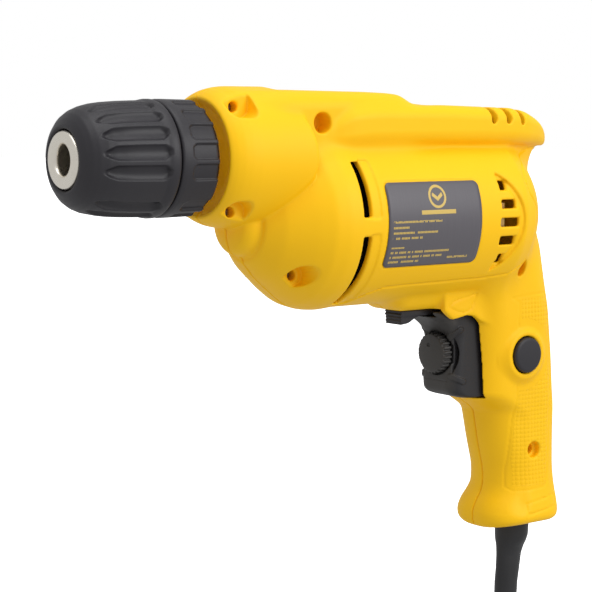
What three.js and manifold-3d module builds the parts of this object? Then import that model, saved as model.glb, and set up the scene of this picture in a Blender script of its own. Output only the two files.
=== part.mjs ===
// A corded electric drill: keyless chuck, single-stage gear, universal motor, pistol grip and mains lead.
//
// X runs back from the chuck's nose, Z is up and Y = 0 is the plane on which the two housing shells part.
// The spindle turns on Z = 0 and the motor below it. The finished group is moved so that its origin is the
// middle of the grip. Lengths are in millimetres.
import * as THREE from 'three';
import { mergeVertices } from 'three/addons/utils/BufferGeometryUtils.js';
import Module from 'manifold-3d';

const wasm = await Module();
wasm.setup();

// ---- Driving dimensions ---------------------------------------------------------------------------------

const GAP = 0.3; // between pieces that touch
const RUN = 0.16; // radial clearance of a turning or sliding fit
const FAR = 400; // longer than anything that is cut

// Gear pair
const GEAR_MODULE = 0.8;
const GEAR_TEETH = 53;
const PINION_TEETH = 8;
const PINION_SHIFT = 0.53; // profile shift that keeps the small pinion from being undercut
const BACKLASH = 0.14;
const GEAR_WIDTH = 9;
const MOTOR_DROP = (GEAR_MODULE * (GEAR_TEETH + PINION_TEETH)) / 2;

// Chuck
const CHUCK_LENGTH = 52.6;
const CHUCK_RADIUS = 20.8; // of the grip sleeves
const CHUCK_SEAM = 37; // where the front sleeve meets the rear sleeve
const NOSE_RADIUS = 10.3;
const BORE_RADIUS = 5.9;
const CHUCK_CORE = 13; // radius of the steel body behind the nose
const JAW_RADIUS = 3.4;
const JAW_LENGTH = 36;
const JAW_TILT = THREE.MathUtils.degToRad(15);
const JAW_TIP = 12; // depth of the open jaws' tips behind the nose
const JAW_OPEN = 5; // distance from the axis to an open jaw's edge
const SPINDLE_THREAD = 4.75; // radius of the spindle's nose thread
const CHUCK_GAP = 1.4; // from the chuck to the housing

// Gear case and motor, measured back from the housing's front face
const CASE_RADIUS = 26;
const CASE_LENGTH = 38;
const FRONT_BEARING = { at: 6, width: 8, radius: 14, bore: 6 };
const GEAR_ROOM = { from: 16, to: 30 };
const GEAR_FROM = 19.5;
const PLATE = { from: 30.3, thickness: 7, spindleLobe: 22.6, motorLobe: 13.6 };
const BUSH_RADIUS = 7;
const SPINDLE_TAIL = 4; // radius of the spindle's rear journal
const MOTOR_BEARING = { radius: 9.5, bore: 3.5, width: 6 };
const BARREL_RADIUS = 33.6;
const BARREL_WALL = 3;
const FAN = { from: 43.5, length: 15, radius: 28.6, blades: 9 };
const BAFFLE = { from: 64, thickness: 2.4 };
const STACK = { from: 72, length: 34, radius: BARREL_RADIUS - 4, bore: 17 };
const AIR_GAP = 0.7;
const COIL_END = 4.4; // how far the field coils stand out of the stack
const COMMUTATOR = { from: 116.5, length: 13, radius: 11 };
const BULKHEAD = { from: 136.5, thickness: 9 };
const EXHAUST = { from: 52, width: 4.5 };

// Upper body
const SPINE_HALF_WIDTH = 21;
const BAND_HALF_WIDTH = 24;
const WALL = 2.8; // moulded wall of the handle and the upper body

// Handle, trigger and switch
const HANDLE_REACH = 155.5; // from the spindle's axis to the handle's base
const HANDLE_HALF_WIDTH = 16;
const LEVER_TOP = -MOTOR_DROP - BARREL_RADIUS - 3.6;
const TRIGGER_TOP = LEVER_TOP - 3.3;
const TRIGGER_BOTTOM = -98.6;
const TRIGGER_HALF_WIDTH = 11.5;
const TRIGGER_TRAVEL = 6.5;
const SWITCH = { from: 143.5, length: 22.5, halfWidth: 9.5, top: -66.2, bottom: -99 };
const PLUNGER = { halfWidth: 3, halfHeight: 4, z: -82, into: 8.5 };
const DIAL = { radius: 8.3, width: 5, x: 113.6, z: -80.5, notches: 12, pin: 2, pinLength: 6 };
const LOCK = { x: 149.7, z: -82, radius: 7.3, ring: 13.4, face: -21, travel: 3, springRadius: 2.4 };
const LEVER = { tip: 95.4, pivot: 124, rear: 138, top: LEVER_TOP, thickness: 2.4, pinRadius: 3 };

// Fasteners: where each housing screw goes through, as x and z, and how far right of the parting its head sits
const SCREWS = [
  [8, 18.3, 11],
  [6.6, -19.3, 11],
  [42.9, 12.6, 11],
  [34.3, -43.6, 11],
  [145, -46, 11],
  [157.9, Math.min(-HANDLE_REACH + 32.8, SWITCH.bottom - 5), 9.4],
];
const SCREW = { radius: 1.75, pilot: 1.95, head: 3.3, headHeight: 2.4, recess: 3.7, boss: 4.4, tip: -9.5 };

// Mains lead
const CORD_RADIUS = 3.5;
const RELIEF = { x: 161, collar: 7, neck: 5.9, tip: 4.6, collarLength: 8, length: 34.5, lean: -3.2 };
const RING = { radius: 42, thickness: 14.8, width: 33.6 }; // the stored lead, wound into a coil
const PLUG = {
  place: [85.8, 25, -297],
  length: 36,
  halfWidth: 13,
  halfThickness: 7.5,
  pinRadius: 2.4,
  pinLength: 19,
  pinSpacing: 19,
  pinSocket: 6,
};

const BODY_X = CHUCK_LENGTH + CHUCK_GAP;

// ---- Colours and finishes -------------------------------------------------------------------------------

const YELLOW = { color: 0xffc80a, roughness: 0.42, metalness: 0 };
const BLACK = { color: 0x2b2a2e, roughness: 0.5, metalness: 0 };
const RUBBER = { color: 0x1c1c1e, roughness: 0.75, metalness: 0 };
const LABEL = { color: 0x55525a, roughness: 0.35, metalness: 0.1 };
const STEEL = { color: 0xb9b4aa, roughness: 0.3, metalness: 1 };
const DARK_STEEL = { color: 0x6f6c69, roughness: 0.4, metalness: 1 };
const COPPER = { color: 0xb4683a, roughness: 0.35, metalness: 1 };
const BRASS = { color: 0xc8a050, roughness: 0.35, metalness: 1 };
const BRONZE = { color: 0x9c7440, roughness: 0.5, metalness: 1 };
const CARBON = { color: 0x303030, roughness: 0.8, metalness: 0 };
const ZINC = { color: 0xa7a9ac, roughness: 0.4, metalness: 1 };

// ---- Making solids --------------------------------------------------------------------------------------

// A closed three.js geometry as a solid.
function solid(geometry) {
  const plain = geometry.index ? geometry.toNonIndexed() : geometry.clone();
  plain.deleteAttribute('normal');
  plain.deleteAttribute('uv');
  const merged = mergeVertices(plain, 1e-4);
  const corners = merged.index.array;
  const triangles = [];
  for (let i = 0; i < corners.length; i += 3) {
    const [a, b, c] = [corners[i], corners[i + 1], corners[i + 2]];
    if (a !== b && b !== c && c !== a) triangles.push(a, b, c);
  }
  const made = fromTriangles(merged.attributes.position.array, triangles);
  return made.volume() < 0 ? fromTriangles(merged.attributes.position.array, triangles.reverse()) : made;
}

function fromTriangles(vertProperties, triangles) {
  const triVerts = new Uint32Array(triangles);
  return new wasm.Manifold(new wasm.Mesh({ numProp: 3, vertProperties, triVerts }));
}

function geometryOf(manifold) {
  const mesh = manifold.getMesh();
  const geometry = new THREE.BufferGeometry();
  geometry.setAttribute('position', new THREE.BufferAttribute(mesh.vertProperties, 3));
  geometry.setIndex(new THREE.BufferAttribute(mesh.triVerts, 1));
  geometry.computeVertexNormals();
  return geometry;
}

// A solid of revolution about the X axis, from [x, radius] points.
function turned(points, segments = 20) {
  const profile = points.map(([x, radius]) => new THREE.Vector2(radius, x));
  if (profile[0].x > 0) profile.push(profile[0].clone());
  return solid(new THREE.LatheGeometry(profile, segments).rotateZ(-Math.PI / 2));
}

function ring(from, to, inner, outer, segments) {
  return turned([[from, inner], [from, outer], [to, outer], [to, inner]], segments);
}

function rod(from, to, radius, segments) {
  return turned([[from, 0], [from, radius], [to, radius], [to, 0]], segments);
}

// An outline of [x, z] points, extruded from y = low to y = high.
function sideCut(points, low, high) {
  const shape = new THREE.Shape(points.map(([x, z]) => new THREE.Vector2(x, z)));
  return sideShape(shape, low, high);
}

function sideShape(shape, low, high, curveSegments = 4) {
  const made = new THREE.ExtrudeGeometry(shape, { depth: high - low, bevelEnabled: false, curveSegments });
  return solid(made.rotateX(Math.PI / 2).translate(0, high, 0));
}

// A shape in Y and Z, extruded along X.
function frontShape(shape, from, to, curveSegments = 5) {
  const made = new THREE.ExtrudeGeometry(shape, { depth: to - from, bevelEnabled: false, curveSegments });
  const axes = new THREE.Matrix4().makeBasis(
    new THREE.Vector3(0, 1, 0),
    new THREE.Vector3(0, 0, 1),
    new THREE.Vector3(1, 0, 0),
  );
  return solid(made.applyMatrix4(axes).translate(from, 0, 0));
}

function box(x0, x1, y0, y1, z0, z1) {
  const made = new THREE.BoxGeometry(x1 - x0, y1 - y0, z1 - z0);
  return solid(made.translate((x0 + x1) / 2, (y0 + y1) / 2, (z0 + z1) / 2));
}

// A round bar along Y at x and z.
function crossBar(x, z, y0, y1, radius, segments = 10) {
  const made = new THREE.CylinderGeometry(radius, radius, y1 - y0, segments);
  return solid(made.translate(x, (y0 + y1) / 2, z));
}

function uprightBar(x, y, z0, z1, radius, segments = 12) {
  const made = new THREE.CylinderGeometry(radius, radius, z1 - z0, segments).rotateX(Math.PI / 2);
  return solid(made.translate(x, y, (z0 + z1) / 2));
}

// A body through closed rings of points that all have the same number of points.
function loft(rings) {
  const count = rings[0].length;
  const positions = rings.flat();
  const index = [];
  for (let i = 0; i + 1 < rings.length; i += 1) {
    for (let j = 0; j < count; j += 1) {
      const [a, b] = [i * count + j, i * count + ((j + 1) % count)];
      index.push(a, b, b + count, a, b + count, a + count);
    }
  }
  for (const [start, flip] of [[0, true], [(rings.length - 1) * count, false]]) {
    const centre = new THREE.Vector3();
    for (let j = 0; j < count; j += 1) centre.addScaledVector(positions[start + j], 1 / count);
    positions.push(centre);
    for (let j = 0; j < count; j += 1) {
      const [a, b] = [start + j, start + ((j + 1) % count)];
      index.push(positions.length - 1, flip ? b : a, flip ? a : b);
    }
  }
  const geometry = new THREE.BufferGeometry().setFromPoints(positions);
  geometry.setIndex(index);
  return solid(geometry);
}

// The corners of a rounded rectangle, as [u, v] pairs, with a few points to each corner.
function roundedRectangle(u0, u1, v0, v1, corner, steps = 3) {
  const reach = Math.min(corner, (u1 - u0) / 2 - 0.01, (v1 - v0) / 2 - 0.01);
  const centres = [
    [u1 - reach, v1 - reach],
    [u0 + reach, v1 - reach],
    [u0 + reach, v0 + reach],
    [u1 - reach, v0 + reach],
  ];
  return centres.flatMap(([u, v], quarter) => {
    return Array.from({ length: steps + 1 }, (_, step) => {
      const angle = (quarter + step / steps) * (Math.PI / 2);
      return [u + reach * Math.cos(angle), v + reach * Math.sin(angle)];
    });
  });
}

function roundedShape(u0, u1, v0, v1, corner) {
  return new THREE.Shape(roundedRectangle(u0, u1, v0, v1, corner).map(([u, v]) => new THREE.Vector2(u, v)));
}

function union(solids) {
  return solids.reduce((sum, next) => sum.add(next));
}

function mirrored(manifold) {
  return manifold.mirror([0, 1, 0]);
}

// Copies of a solid turned about the X axis.
function around(manifold, count, skip = () => false) {
  const copies = [];
  for (let i = 0; i < count; i += 1) {
    if (!skip(i)) copies.push(manifold.rotate([(360 * i) / count, 0, 0]));
  }
  return union(copies);
}

// A coil spring along X from 0 to its length, ground to a plain square wire.
function springGeometry(length, radius, wire, turns) {
  const stepsPerTurn = 7;
  const points = [];
  for (let i = 0; i <= turns * stepsPerTurn; i += 1) {
    const angle = (i / stepsPerTurn) * 2 * Math.PI;
    const x = wire + ((length - 2 * wire) * i) / (turns * stepsPerTurn);
    points.push(new THREE.Vector3(x, radius * Math.cos(angle), radius * Math.sin(angle)));
  }
  const path = new THREE.CatmullRomCurve3(points);
  const corners = [[1, 1], [-1, 1], [-1, -1], [1, -1]];
  const section = new THREE.Shape(corners.map(([u, v]) => new THREE.Vector2((u * wire) / 2, (v * wire) / 2)));
  return new THREE.ExtrudeGeometry(section, { steps: turns * stepsPerTurn, extrudePath: path });
}

const tool = new THREE.Group();
const chuckLine = new THREE.Group();
const bodyLine = new THREE.Group();
const motorLine = new THREE.Group();
bodyLine.position.x = BODY_X;
motorLine.position.z = -MOTOR_DROP;
bodyLine.add(motorLine);
tool.add(chuckLine, bodyLine);

function part(name, shape, finish, group = bodyLine, place = [0, 0, 0]) {
  const geometry = shape.isBufferGeometry ? shape : geometryOf(shape);
  const mesh = new THREE.Mesh(geometry, new THREE.MeshStandardMaterial(finish));
  mesh.name = name;
  mesh.position.set(...place);
  group.add(mesh);
  return mesh;
}

// ---- Chuck ----------------------------------------------------------------------------------------------

const NUT = { from: 24, to: 30, radius: 17.8 };
const SOCKET_DEPTH = 15;
const CHUCK_FLANGE = 3.9; // thickness of the disc that carries the rear sleeve
const REAR_SLEEVE_BORE = 19.2;
const CHUCK_WEB = 3; // between the bore and the spindle's socket
const CHUCK_SCREW = { shank: 2.5, length: 9, head: 4.3, headHeight: 3, crossWidth: 1.2, crossDepth: 1.4 };
const SLEEVE_GRIPS = 18; // places round a sleeve, of which every sixth stays plain
const betweenGroups = (place) => place % 6 === 5;
const jawAxisAt = (x) => JAW_OPEN + GAP * 2 + 0.2 + (x - JAW_TIP) * Math.tan(JAW_TILT);
const jawReachAt = (x) => jawAxisAt(x) + JAW_RADIUS / Math.cos(JAW_TILT);

// A round bar along a jaw's axis, from one depth behind the nose to another, above the spindle axis.
function alongJaw(from, to, radius, segments = 12) {
  const length = (to - from) / Math.cos(JAW_TILT);
  return rod(0, length, radius, segments)
    .rotate([0, -THREE.MathUtils.radToDeg(JAW_TILT), 0])
    .translate([from, 0, jawAxisAt(from)]);
}

function chuckBody() {
  const flangeFrom = CHUCK_LENGTH - CHUCK_FLANGE - 0.4;
  const web = CHUCK_LENGTH - SOCKET_DEPTH;
  const outer = turned([
    [0, 0],
    [0, NOSE_RADIUS - 0.6],
    [0.6, NOSE_RADIUS],
    [7, NOSE_RADIUS],
    [13, CHUCK_CORE],
    [NUT.from - 0.5, CHUCK_CORE],
    [NUT.from - 0.5, CHUCK_CORE - 2.4],
    [NUT.to + 0.5, CHUCK_CORE - 2.4],
    [NUT.to + 0.5, CHUCK_CORE],
    [flangeFrom, CHUCK_CORE],
    [flangeFrom, REAR_SLEEVE_BORE - GAP],
    [CHUCK_LENGTH - 0.4, REAR_SLEEVE_BORE - GAP],
    [CHUCK_LENGTH - 0.4, 0],
  ], 48);
  const bore = turned([
    [-1, 0],
    [-1, BORE_RADIUS + 1.2],
    [0.8, BORE_RADIUS],
    [web - CHUCK_WEB, BORE_RADIUS],
    [web - CHUCK_WEB, 0],
  ], 36);
  const screwHole = rod(0, web + 1, CHUCK_SCREW.shank + GAP, 12);
  const socket = rod(web, CHUCK_LENGTH + 1, SPINDLE_THREAD + RUN, 16);
  const track = alongJaw(-4, flangeFrom - 0.1, JAW_RADIUS + RUN);
  return outer.subtract(union([bore, screwHole, socket, around(track, 3)]));
}

function chuckFrontSleeve() {
  const end = CHUCK_SEAM - GAP;
  const shell = turned([
    [2.5, NOSE_RADIUS + 0.35],
    [2.5, 11.6],
    [3.6, 14.8],
    [5.4, 16.8],
    [8, 18],
    [12, CHUCK_RADIUS - 1.3],
    [20, CHUCK_RADIUS - 0.7],
    [32.5, CHUCK_RADIUS],
    [34.5, CHUCK_RADIUS + 0.5],
    [end, CHUCK_RADIUS + 0.6],
    [end, NUT.radius + GAP],
    [NUT.from - GAP, NUT.radius + GAP],
    [NUT.from - GAP, CHUCK_CORE + 0.4],
    [13, CHUCK_CORE + 0.4],
    [7, NOSE_RADIUS + 0.35],
  ], 24);
  const flute = new THREE.CylinderGeometry(2.3, 0.5, 21, 6).rotateZ(-Math.PI / 2);
  flute.translate(22.5, 0, CHUCK_RADIUS + 1.1);
  return shell.subtract(around(solid(flute), SLEEVE_GRIPS, betweenGroups));
}

function chuckRearSleeve() {
  const from = CHUCK_SEAM + GAP;
  const shell = turned([
    [from, CHUCK_RADIUS + 0.2],
    [from + 1.2, CHUCK_RADIUS + 0.5],
    [CHUCK_LENGTH - 1.2, CHUCK_RADIUS],
    [CHUCK_LENGTH, CHUCK_RADIUS - 0.8],
    [CHUCK_LENGTH, REAR_SLEEVE_BORE],
    [from + 1.5, REAR_SLEEVE_BORE],
    [from + 1.5, jawReachAt(from + 1.5) + 0.6],
    [from, jawReachAt(from) + 0.6],
  ], 24);
  const flat = box(41, CHUCK_LENGTH + 1, -2.6, 2.6, CHUCK_RADIUS - 0.5, CHUCK_RADIUS + 3);
  return shell.subtract(around(flat, SLEEVE_GRIPS, betweenGroups));
}

// The nut's bore is a cone that follows the outer side of the jaws.
function jawNut() {
  const clear = 0.4;
  return turned([
    [NUT.from, jawReachAt(NUT.from) + clear],
    [NUT.from, NUT.radius],
    [NUT.to, NUT.radius],
    [NUT.to, jawReachAt(NUT.to) + clear],
  ], 20);
}

// A jaw above the axis: a tilted pin whose tip is cut to a wedge of 120 degrees that points at the axis.
function jaw() {
  const end = JAW_TIP + JAW_LENGTH * Math.cos(JAW_TILT);
  const pin = alongJaw(JAW_TIP - 3, end, JAW_RADIUS);
  const wedge = new THREE.Shape([
    new THREE.Vector2(0, JAW_OPEN),
    new THREE.Vector2(FAR * Math.sin(Math.PI / 3), JAW_OPEN + FAR * Math.cos(Math.PI / 3)),
    new THREE.Vector2(-FAR * Math.sin(Math.PI / 3), JAW_OPEN + FAR * Math.cos(Math.PI / 3)),
  ]);
  return pin.intersect(frontShape(wedge, JAW_TIP, end + 2));
}

function chuckScrew() {
  const web = CHUCK_LENGTH - SOCKET_DEPTH;
  const seat = web - CHUCK_WEB - GAP;
  const { shank, length, head, headHeight, crossWidth, crossDepth } = CHUCK_SCREW;
  const body = rod(seat - headHeight, seat, head, 12).add(rod(seat, web + length, shank, 12));
  const cross = box(0, seat - crossDepth, -crossWidth / 2, crossWidth / 2, -shank, shank);
  return body.subtract(cross.add(cross.rotate([90, 0, 0])));
}

part('chuck_body', chuckBody(), STEEL, chuckLine);
part('chuck_front_sleeve', chuckFrontSleeve(), BLACK, chuckLine);
part('chuck_rear_sleeve', chuckRearSleeve(), BLACK, chuckLine);
part('jaw_nut', jawNut(), DARK_STEEL, chuckLine);
part('chuck_screw', chuckScrew(), STEEL, chuckLine);
for (let i = 0; i < 3; i += 1) {
  const mesh = part(`jaw_${i + 1}`, jaw(), DARK_STEEL, chuckLine);
  mesh.rotation.x = (i * 2 * Math.PI) / 3;
}

// ---- Spindle and gears ----------------------------------------------------------------------------------

// The outline of an involute gear whose first tooth points along +Z of its own frame.
function gearShape(teeth, shift, addendum, flankSteps) {
  const pressure = THREE.MathUtils.degToRad(20);
  const involute = (angle) => Math.tan(angle) - angle;
  const pitch = (GEAR_MODULE * teeth) / 2;
  const base = pitch * Math.cos(pressure);
  const tip = pitch + GEAR_MODULE * (addendum + shift);
  const root = pitch - GEAR_MODULE * (1.25 - shift);
  const thickness = GEAR_MODULE * (Math.PI / 2 + 2 * shift * Math.tan(pressure)) - BACKLASH / 2;
  const halfAngle = (radius) => {
    const here = radius > base ? Math.acos(base / radius) : 0;
    return thickness / (2 * pitch) + involute(pressure) - involute(here);
  };
  const undercut = base > root + GEAR_MODULE / 4;
  const start = undercut ? base : root;
  const radii = undercut ? [root] : [];
  for (let i = 0; i <= flankSteps; i += 1) radii.push(start + ((tip - start) * i) / flankSteps);
  const points = [];
  for (let tooth = 0; tooth < teeth; tooth += 1) {
    const middle = (tooth * 2 * Math.PI) / teeth;
    const left = radii.map((radius) => [radius, middle - halfAngle(radius)]);
    const right = radii.map((radius) => [radius, middle + halfAngle(radius)]).reverse();
    for (const [radius, angle] of [...left, ...right]) {
      points.push(new THREE.Vector2(radius * Math.sin(angle), radius * Math.cos(angle)));
    }
  }
  return new THREE.Shape(points.reverse());
}

const GEAR_SEAT = 6.5; // radius of the spindle under its gear
const GEAR_TIP = (GEAR_MODULE * GEAR_TEETH) / 2 + GEAR_MODULE * (1 - PINION_SHIFT);

// The gear has a gap between two teeth towards the motor, where a pinion tooth points up.
function spindleGear() {
  const shape = gearShape(GEAR_TEETH, -PINION_SHIFT, 1, 1);
  const wheel = frontShape(shape, GEAR_FROM, GEAR_FROM + GEAR_WIDTH);
  const bore = rod(GEAR_FROM - 1, GEAR_FROM + GEAR_WIDTH + 1, GEAR_SEAT + 0.1, 16);
  const dish = ring(GEAR_FROM - 1, GEAR_FROM + 2.5, GEAR_SEAT + 3.5, GEAR_TIP - 5, 16);
  return wheel.subtract(bore.add(dish));
}

function spindle() {
  const gearEnd = GEAR_FROM + GEAR_WIDTH;
  const bearingEnd = FRONT_BEARING.at + FRONT_BEARING.width;
  const plateEnd = PLATE.from + PLATE.thickness;
  const threadStart = -CHUCK_GAP - SOCKET_DEPTH + GAP;
  const body = turned([
    [threadStart, 0],
    [threadStart, SPINDLE_THREAD - 0.6],
    [threadStart + 0.8, SPINDLE_THREAD],
    [-CHUCK_GAP + GAP, SPINDLE_THREAD],
    [-CHUCK_GAP + GAP, FRONT_BEARING.bore + 1.4],
    [FRONT_BEARING.at - GAP, FRONT_BEARING.bore + 1.4],
    [FRONT_BEARING.at - GAP, FRONT_BEARING.bore],
    [bearingEnd + 1, FRONT_BEARING.bore],
    [bearingEnd + 1, GEAR_SEAT],
    [gearEnd, GEAR_SEAT],
    [gearEnd, SPINDLE_TAIL],
    [plateEnd - 0.4, SPINDLE_TAIL],
    [plateEnd - 0.4, 0],
  ], 16);
  const tapping = rod(threadStart - 1, threadStart + 11, 2.7, 10);
  return body.subtract(tapping);
}

// A ball bearing as its two rings and the shields between them, in one piece.
function bearing(at, { width, bore: journal, radius }) {
  const bore = journal + RUN;
  const third = (radius - bore) / 3;
  return turned([
    [at, bore],
    [at, bore + third],
    [at + 0.5, bore + third],
    [at + 0.5, radius - third],
    [at, radius - third],
    [at, radius],
    [at + width, radius],
    [at + width, radius - third],
    [at + width - 0.5, radius - third],
    [at + width - 0.5, bore + third],
    [at + width, bore + third],
    [at + width, bore],
  ], 14);
}

const PLATE_END = PLATE.from + PLATE.thickness;
const ARMATURE_BEARING_FROM = PLATE_END - 0.1 - MOTOR_BEARING.width;

// The plate between the gear room and the fan holds the spindle's rear bush and the armature's front bearing.
function gearPlate() {
  const upper = rod(PLATE.from, PLATE_END, PLATE.spindleLobe, 24);
  const lower = rod(PLATE.from, PLATE_END, PLATE.motorLobe, 24).translate([0, 0, -MOTOR_DROP]);
  const bushSeat = rod(PLATE.from - 1, PLATE_END + 1, BUSH_RADIUS + GAP, 16);
  const bearingSeat = rod(ARMATURE_BEARING_FROM - GAP, PLATE_END + 1, MOTOR_BEARING.radius + GAP, 16);
  const shaftHole = rod(PLATE.from - 1, PLATE_END, MOTOR_BEARING.bore + 2, 16);
  const lowerCuts = bearingSeat.add(shaftHole).translate([0, 0, -MOTOR_DROP]);
  return upper.add(lower).subtract(bushSeat.add(lowerCuts));
}

part('spindle', spindle(), STEEL);
part('spindle_gear', spindleGear(), DARK_STEEL);
part('spindle_front_bearing', bearing(FRONT_BEARING.at, FRONT_BEARING), STEEL);
const bush = ring(PLATE.from + GAP, PLATE_END - GAP, SPINDLE_TAIL + RUN, BUSH_RADIUS, 16);
part('spindle_rear_bush', bush, BRONZE);
part('gear_plate', gearPlate(), ZINC);

// ---- Motor, all about the armature's axis ---------------------------------------------------------------

const ROTOR_RADIUS = STACK.bore - AIR_GAP;
const ROTOR_SLOTS = 12;
const SHAFT_RADIUS = 4.2;
const SHAFT_BORE = SHAFT_RADIUS + GAP; // of whatever is pressed on the armature's shaft
const PINION_ADDENDUM = 0.78; // cut down so that the shifted teeth keep a land at their tips
const REAR_BEARING_FROM = BULKHEAD.from + 1.2;

function armatureShaft() {
  const pinionEnd = PLATE.from - GAP;
  const frontBearingEnd = ARMATURE_BEARING_FROM + MOTOR_BEARING.width + 0.4;
  const shaft = turned([
    [pinionEnd, 0],
    [pinionEnd, MOTOR_BEARING.bore],
    [frontBearingEnd, MOTOR_BEARING.bore],
    [frontBearingEnd, SHAFT_RADIUS],
    [REAR_BEARING_FROM - 0.5, SHAFT_RADIUS],
    [REAR_BEARING_FROM - 0.5, MOTOR_BEARING.bore],
    [REAR_BEARING_FROM + MOTOR_BEARING.width + 0.6, MOTOR_BEARING.bore],
    [REAR_BEARING_FROM + MOTOR_BEARING.width + 0.6, 0],
  ], 16);
  const teeth = gearShape(PINION_TEETH, PINION_SHIFT, PINION_ADDENDUM, 3);
  return shaft.add(frontShape(teeth, GEAR_FROM - 1, pinionEnd + 0.1));
}

function slotted(radius, slotWidth, slotDepth) {
  const end = STACK.from + STACK.length;
  const body = rod(STACK.from, end, radius, 24);
  const half = slotWidth / 2;
  const slot = box(STACK.from - 1, end + 1, -half, half, radius - slotDepth, radius + 1);
  const bore = rod(STACK.from - 1, end + 1, SHAFT_BORE, 12);
  return body.subtract(bore).subtract(around(slot, ROTOR_SLOTS));
}

const SLOT = { width: 2.4, depth: 6.5 };

function windings() {
  const inner = SHAFT_RADIUS + 1.2;
  const outer = ROTOR_RADIUS - 1.5;
  const end = (from, to) => turned([
    [from, inner],
    [from, outer - 3],
    [from + (to - from) * 0.35, outer],
    [to, outer],
    [to, inner],
  ], 12);
  const stackEnd = STACK.from + STACK.length;
  const bars = around(
    box(
      STACK.from - 1,
      stackEnd + 1,
      -SLOT.width / 2 + GAP,
      SLOT.width / 2 - GAP,
      ROTOR_RADIUS - SLOT.depth + GAP,
      outer - 0.4,
    ),
    ROTOR_SLOTS,
  );
  return union([end(STACK.from - 6, STACK.from - GAP), end(stackEnd + 7, stackEnd + GAP), bars]);
}

function commutator() {
  const { from, length, radius } = COMMUTATOR;
  const riser = ring(from - 1.5, from + 1, SHAFT_BORE, radius + 1.4, 18);
  return ring(from, from + length, SHAFT_BORE, radius, 18).add(riser);
}

function coolingFan() {
  const end = FAN.from + FAN.length;
  const disc = ring(FAN.from, FAN.from + 2, SHAFT_BORE, FAN.radius, 22);
  const hub = ring(FAN.from, end, SHAFT_BORE, 8.5, 12);
  const blade = box(FAN.from + 1, end, -0.8, 0.8, 11, FAN.radius - 0.4).rotate([8, 0, 0]);
  const root = box(FAN.from + 1, FAN.from + 7, -0.8, 0.8, 7, 12);
  return union([disc, hub, around(blade.add(root), FAN.blades)]);
}

// A sector of a ring, with its middle above the axis.
function sector(from, to, inner, outer, halfAngle) {
  const shape = new THREE.Shape();
  const start = Math.PI / 2 - halfAngle;
  const end = Math.PI / 2 + halfAngle;
  shape.absarc(0, 0, outer, start, end, false);
  shape.absarc(0, 0, inner, end, start, true);
  shape.closePath();
  return frontShape(shape, from, to, 5);
}

const POLE_HALF_ANGLE = THREE.MathUtils.degToRad(46);
const COIL_HALF_ANGLE = THREE.MathUtils.degToRad(76);
const YOKE_BORE = STACK.radius - 4;

function statorCore() {
  const stackEnd = STACK.from + STACK.length;
  const yoke = ring(STACK.from, stackEnd, YOKE_BORE, STACK.radius, 28);
  const pole = sector(STACK.from, stackEnd, STACK.bore, YOKE_BORE + 1, POLE_HALF_ANGLE);
  return union([yoke, pole, pole.rotate([180, 0, 0])]);
}

function fieldCoil() {
  const clear = 0.02;
  const stackEnd = STACK.from + STACK.length;
  const [from, to] = [STACK.from - COIL_END, stackEnd + COIL_END];
  const body = sector(from, to, STACK.bore + 1, YOKE_BORE - 0.5, COIL_HALF_ANGLE);
  const pole = sector(STACK.from - GAP, stackEnd + GAP, 1, STACK.radius, POLE_HALF_ANGLE + clear);
  return body.subtract(pole);
}

const BRUSH = { alongX: 6, alongZ: 8, length: 10, tube: 1.3, springRoom: 5.6 };
const BRUSH_X = COMMUTATOR.from + COMMUTATOR.length / 2;
const BRUSH_FACE = COMMUTATOR.radius + 0.25;
const HOLDER = {
  from: BRUSH_FACE + 1.6,
  to: BRUSH_FACE + BRUSH.length + BRUSH.springRoom + BRUSH.tube,
  halfX: BRUSH.alongX / 2 + GAP + BRUSH.tube,
  halfZ: BRUSH.alongZ / 2 + GAP + BRUSH.tube,
};

// One brush set on the +Y side of the commutator, about the brush's own axis.
function brushHolder() {
  const outer = box(-HOLDER.halfX, HOLDER.halfX, HOLDER.from, HOLDER.to, -HOLDER.halfZ, HOLDER.halfZ);
  const inside = HOLDER.to - BRUSH.tube;
  const [hx, hz] = [BRUSH.alongX / 2 + GAP, BRUSH.alongZ / 2 + GAP];
  return outer.subtract(box(-hx, hx, HOLDER.from - 1, inside, -hz, hz));
}

function brush() {
  const [hx, hz] = [BRUSH.alongX / 2, BRUSH.alongZ / 2];
  return box(-hx, hx, BRUSH_FACE, BRUSH_FACE + BRUSH.length, -hz, hz);
}

function fanBaffle() {
  const outer = BARREL_RADIUS - BARREL_WALL - GAP;
  return ring(BAFFLE.from, BAFFLE.from + BAFFLE.thickness, ROTOR_RADIUS + 4, outer, 20);
}

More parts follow.
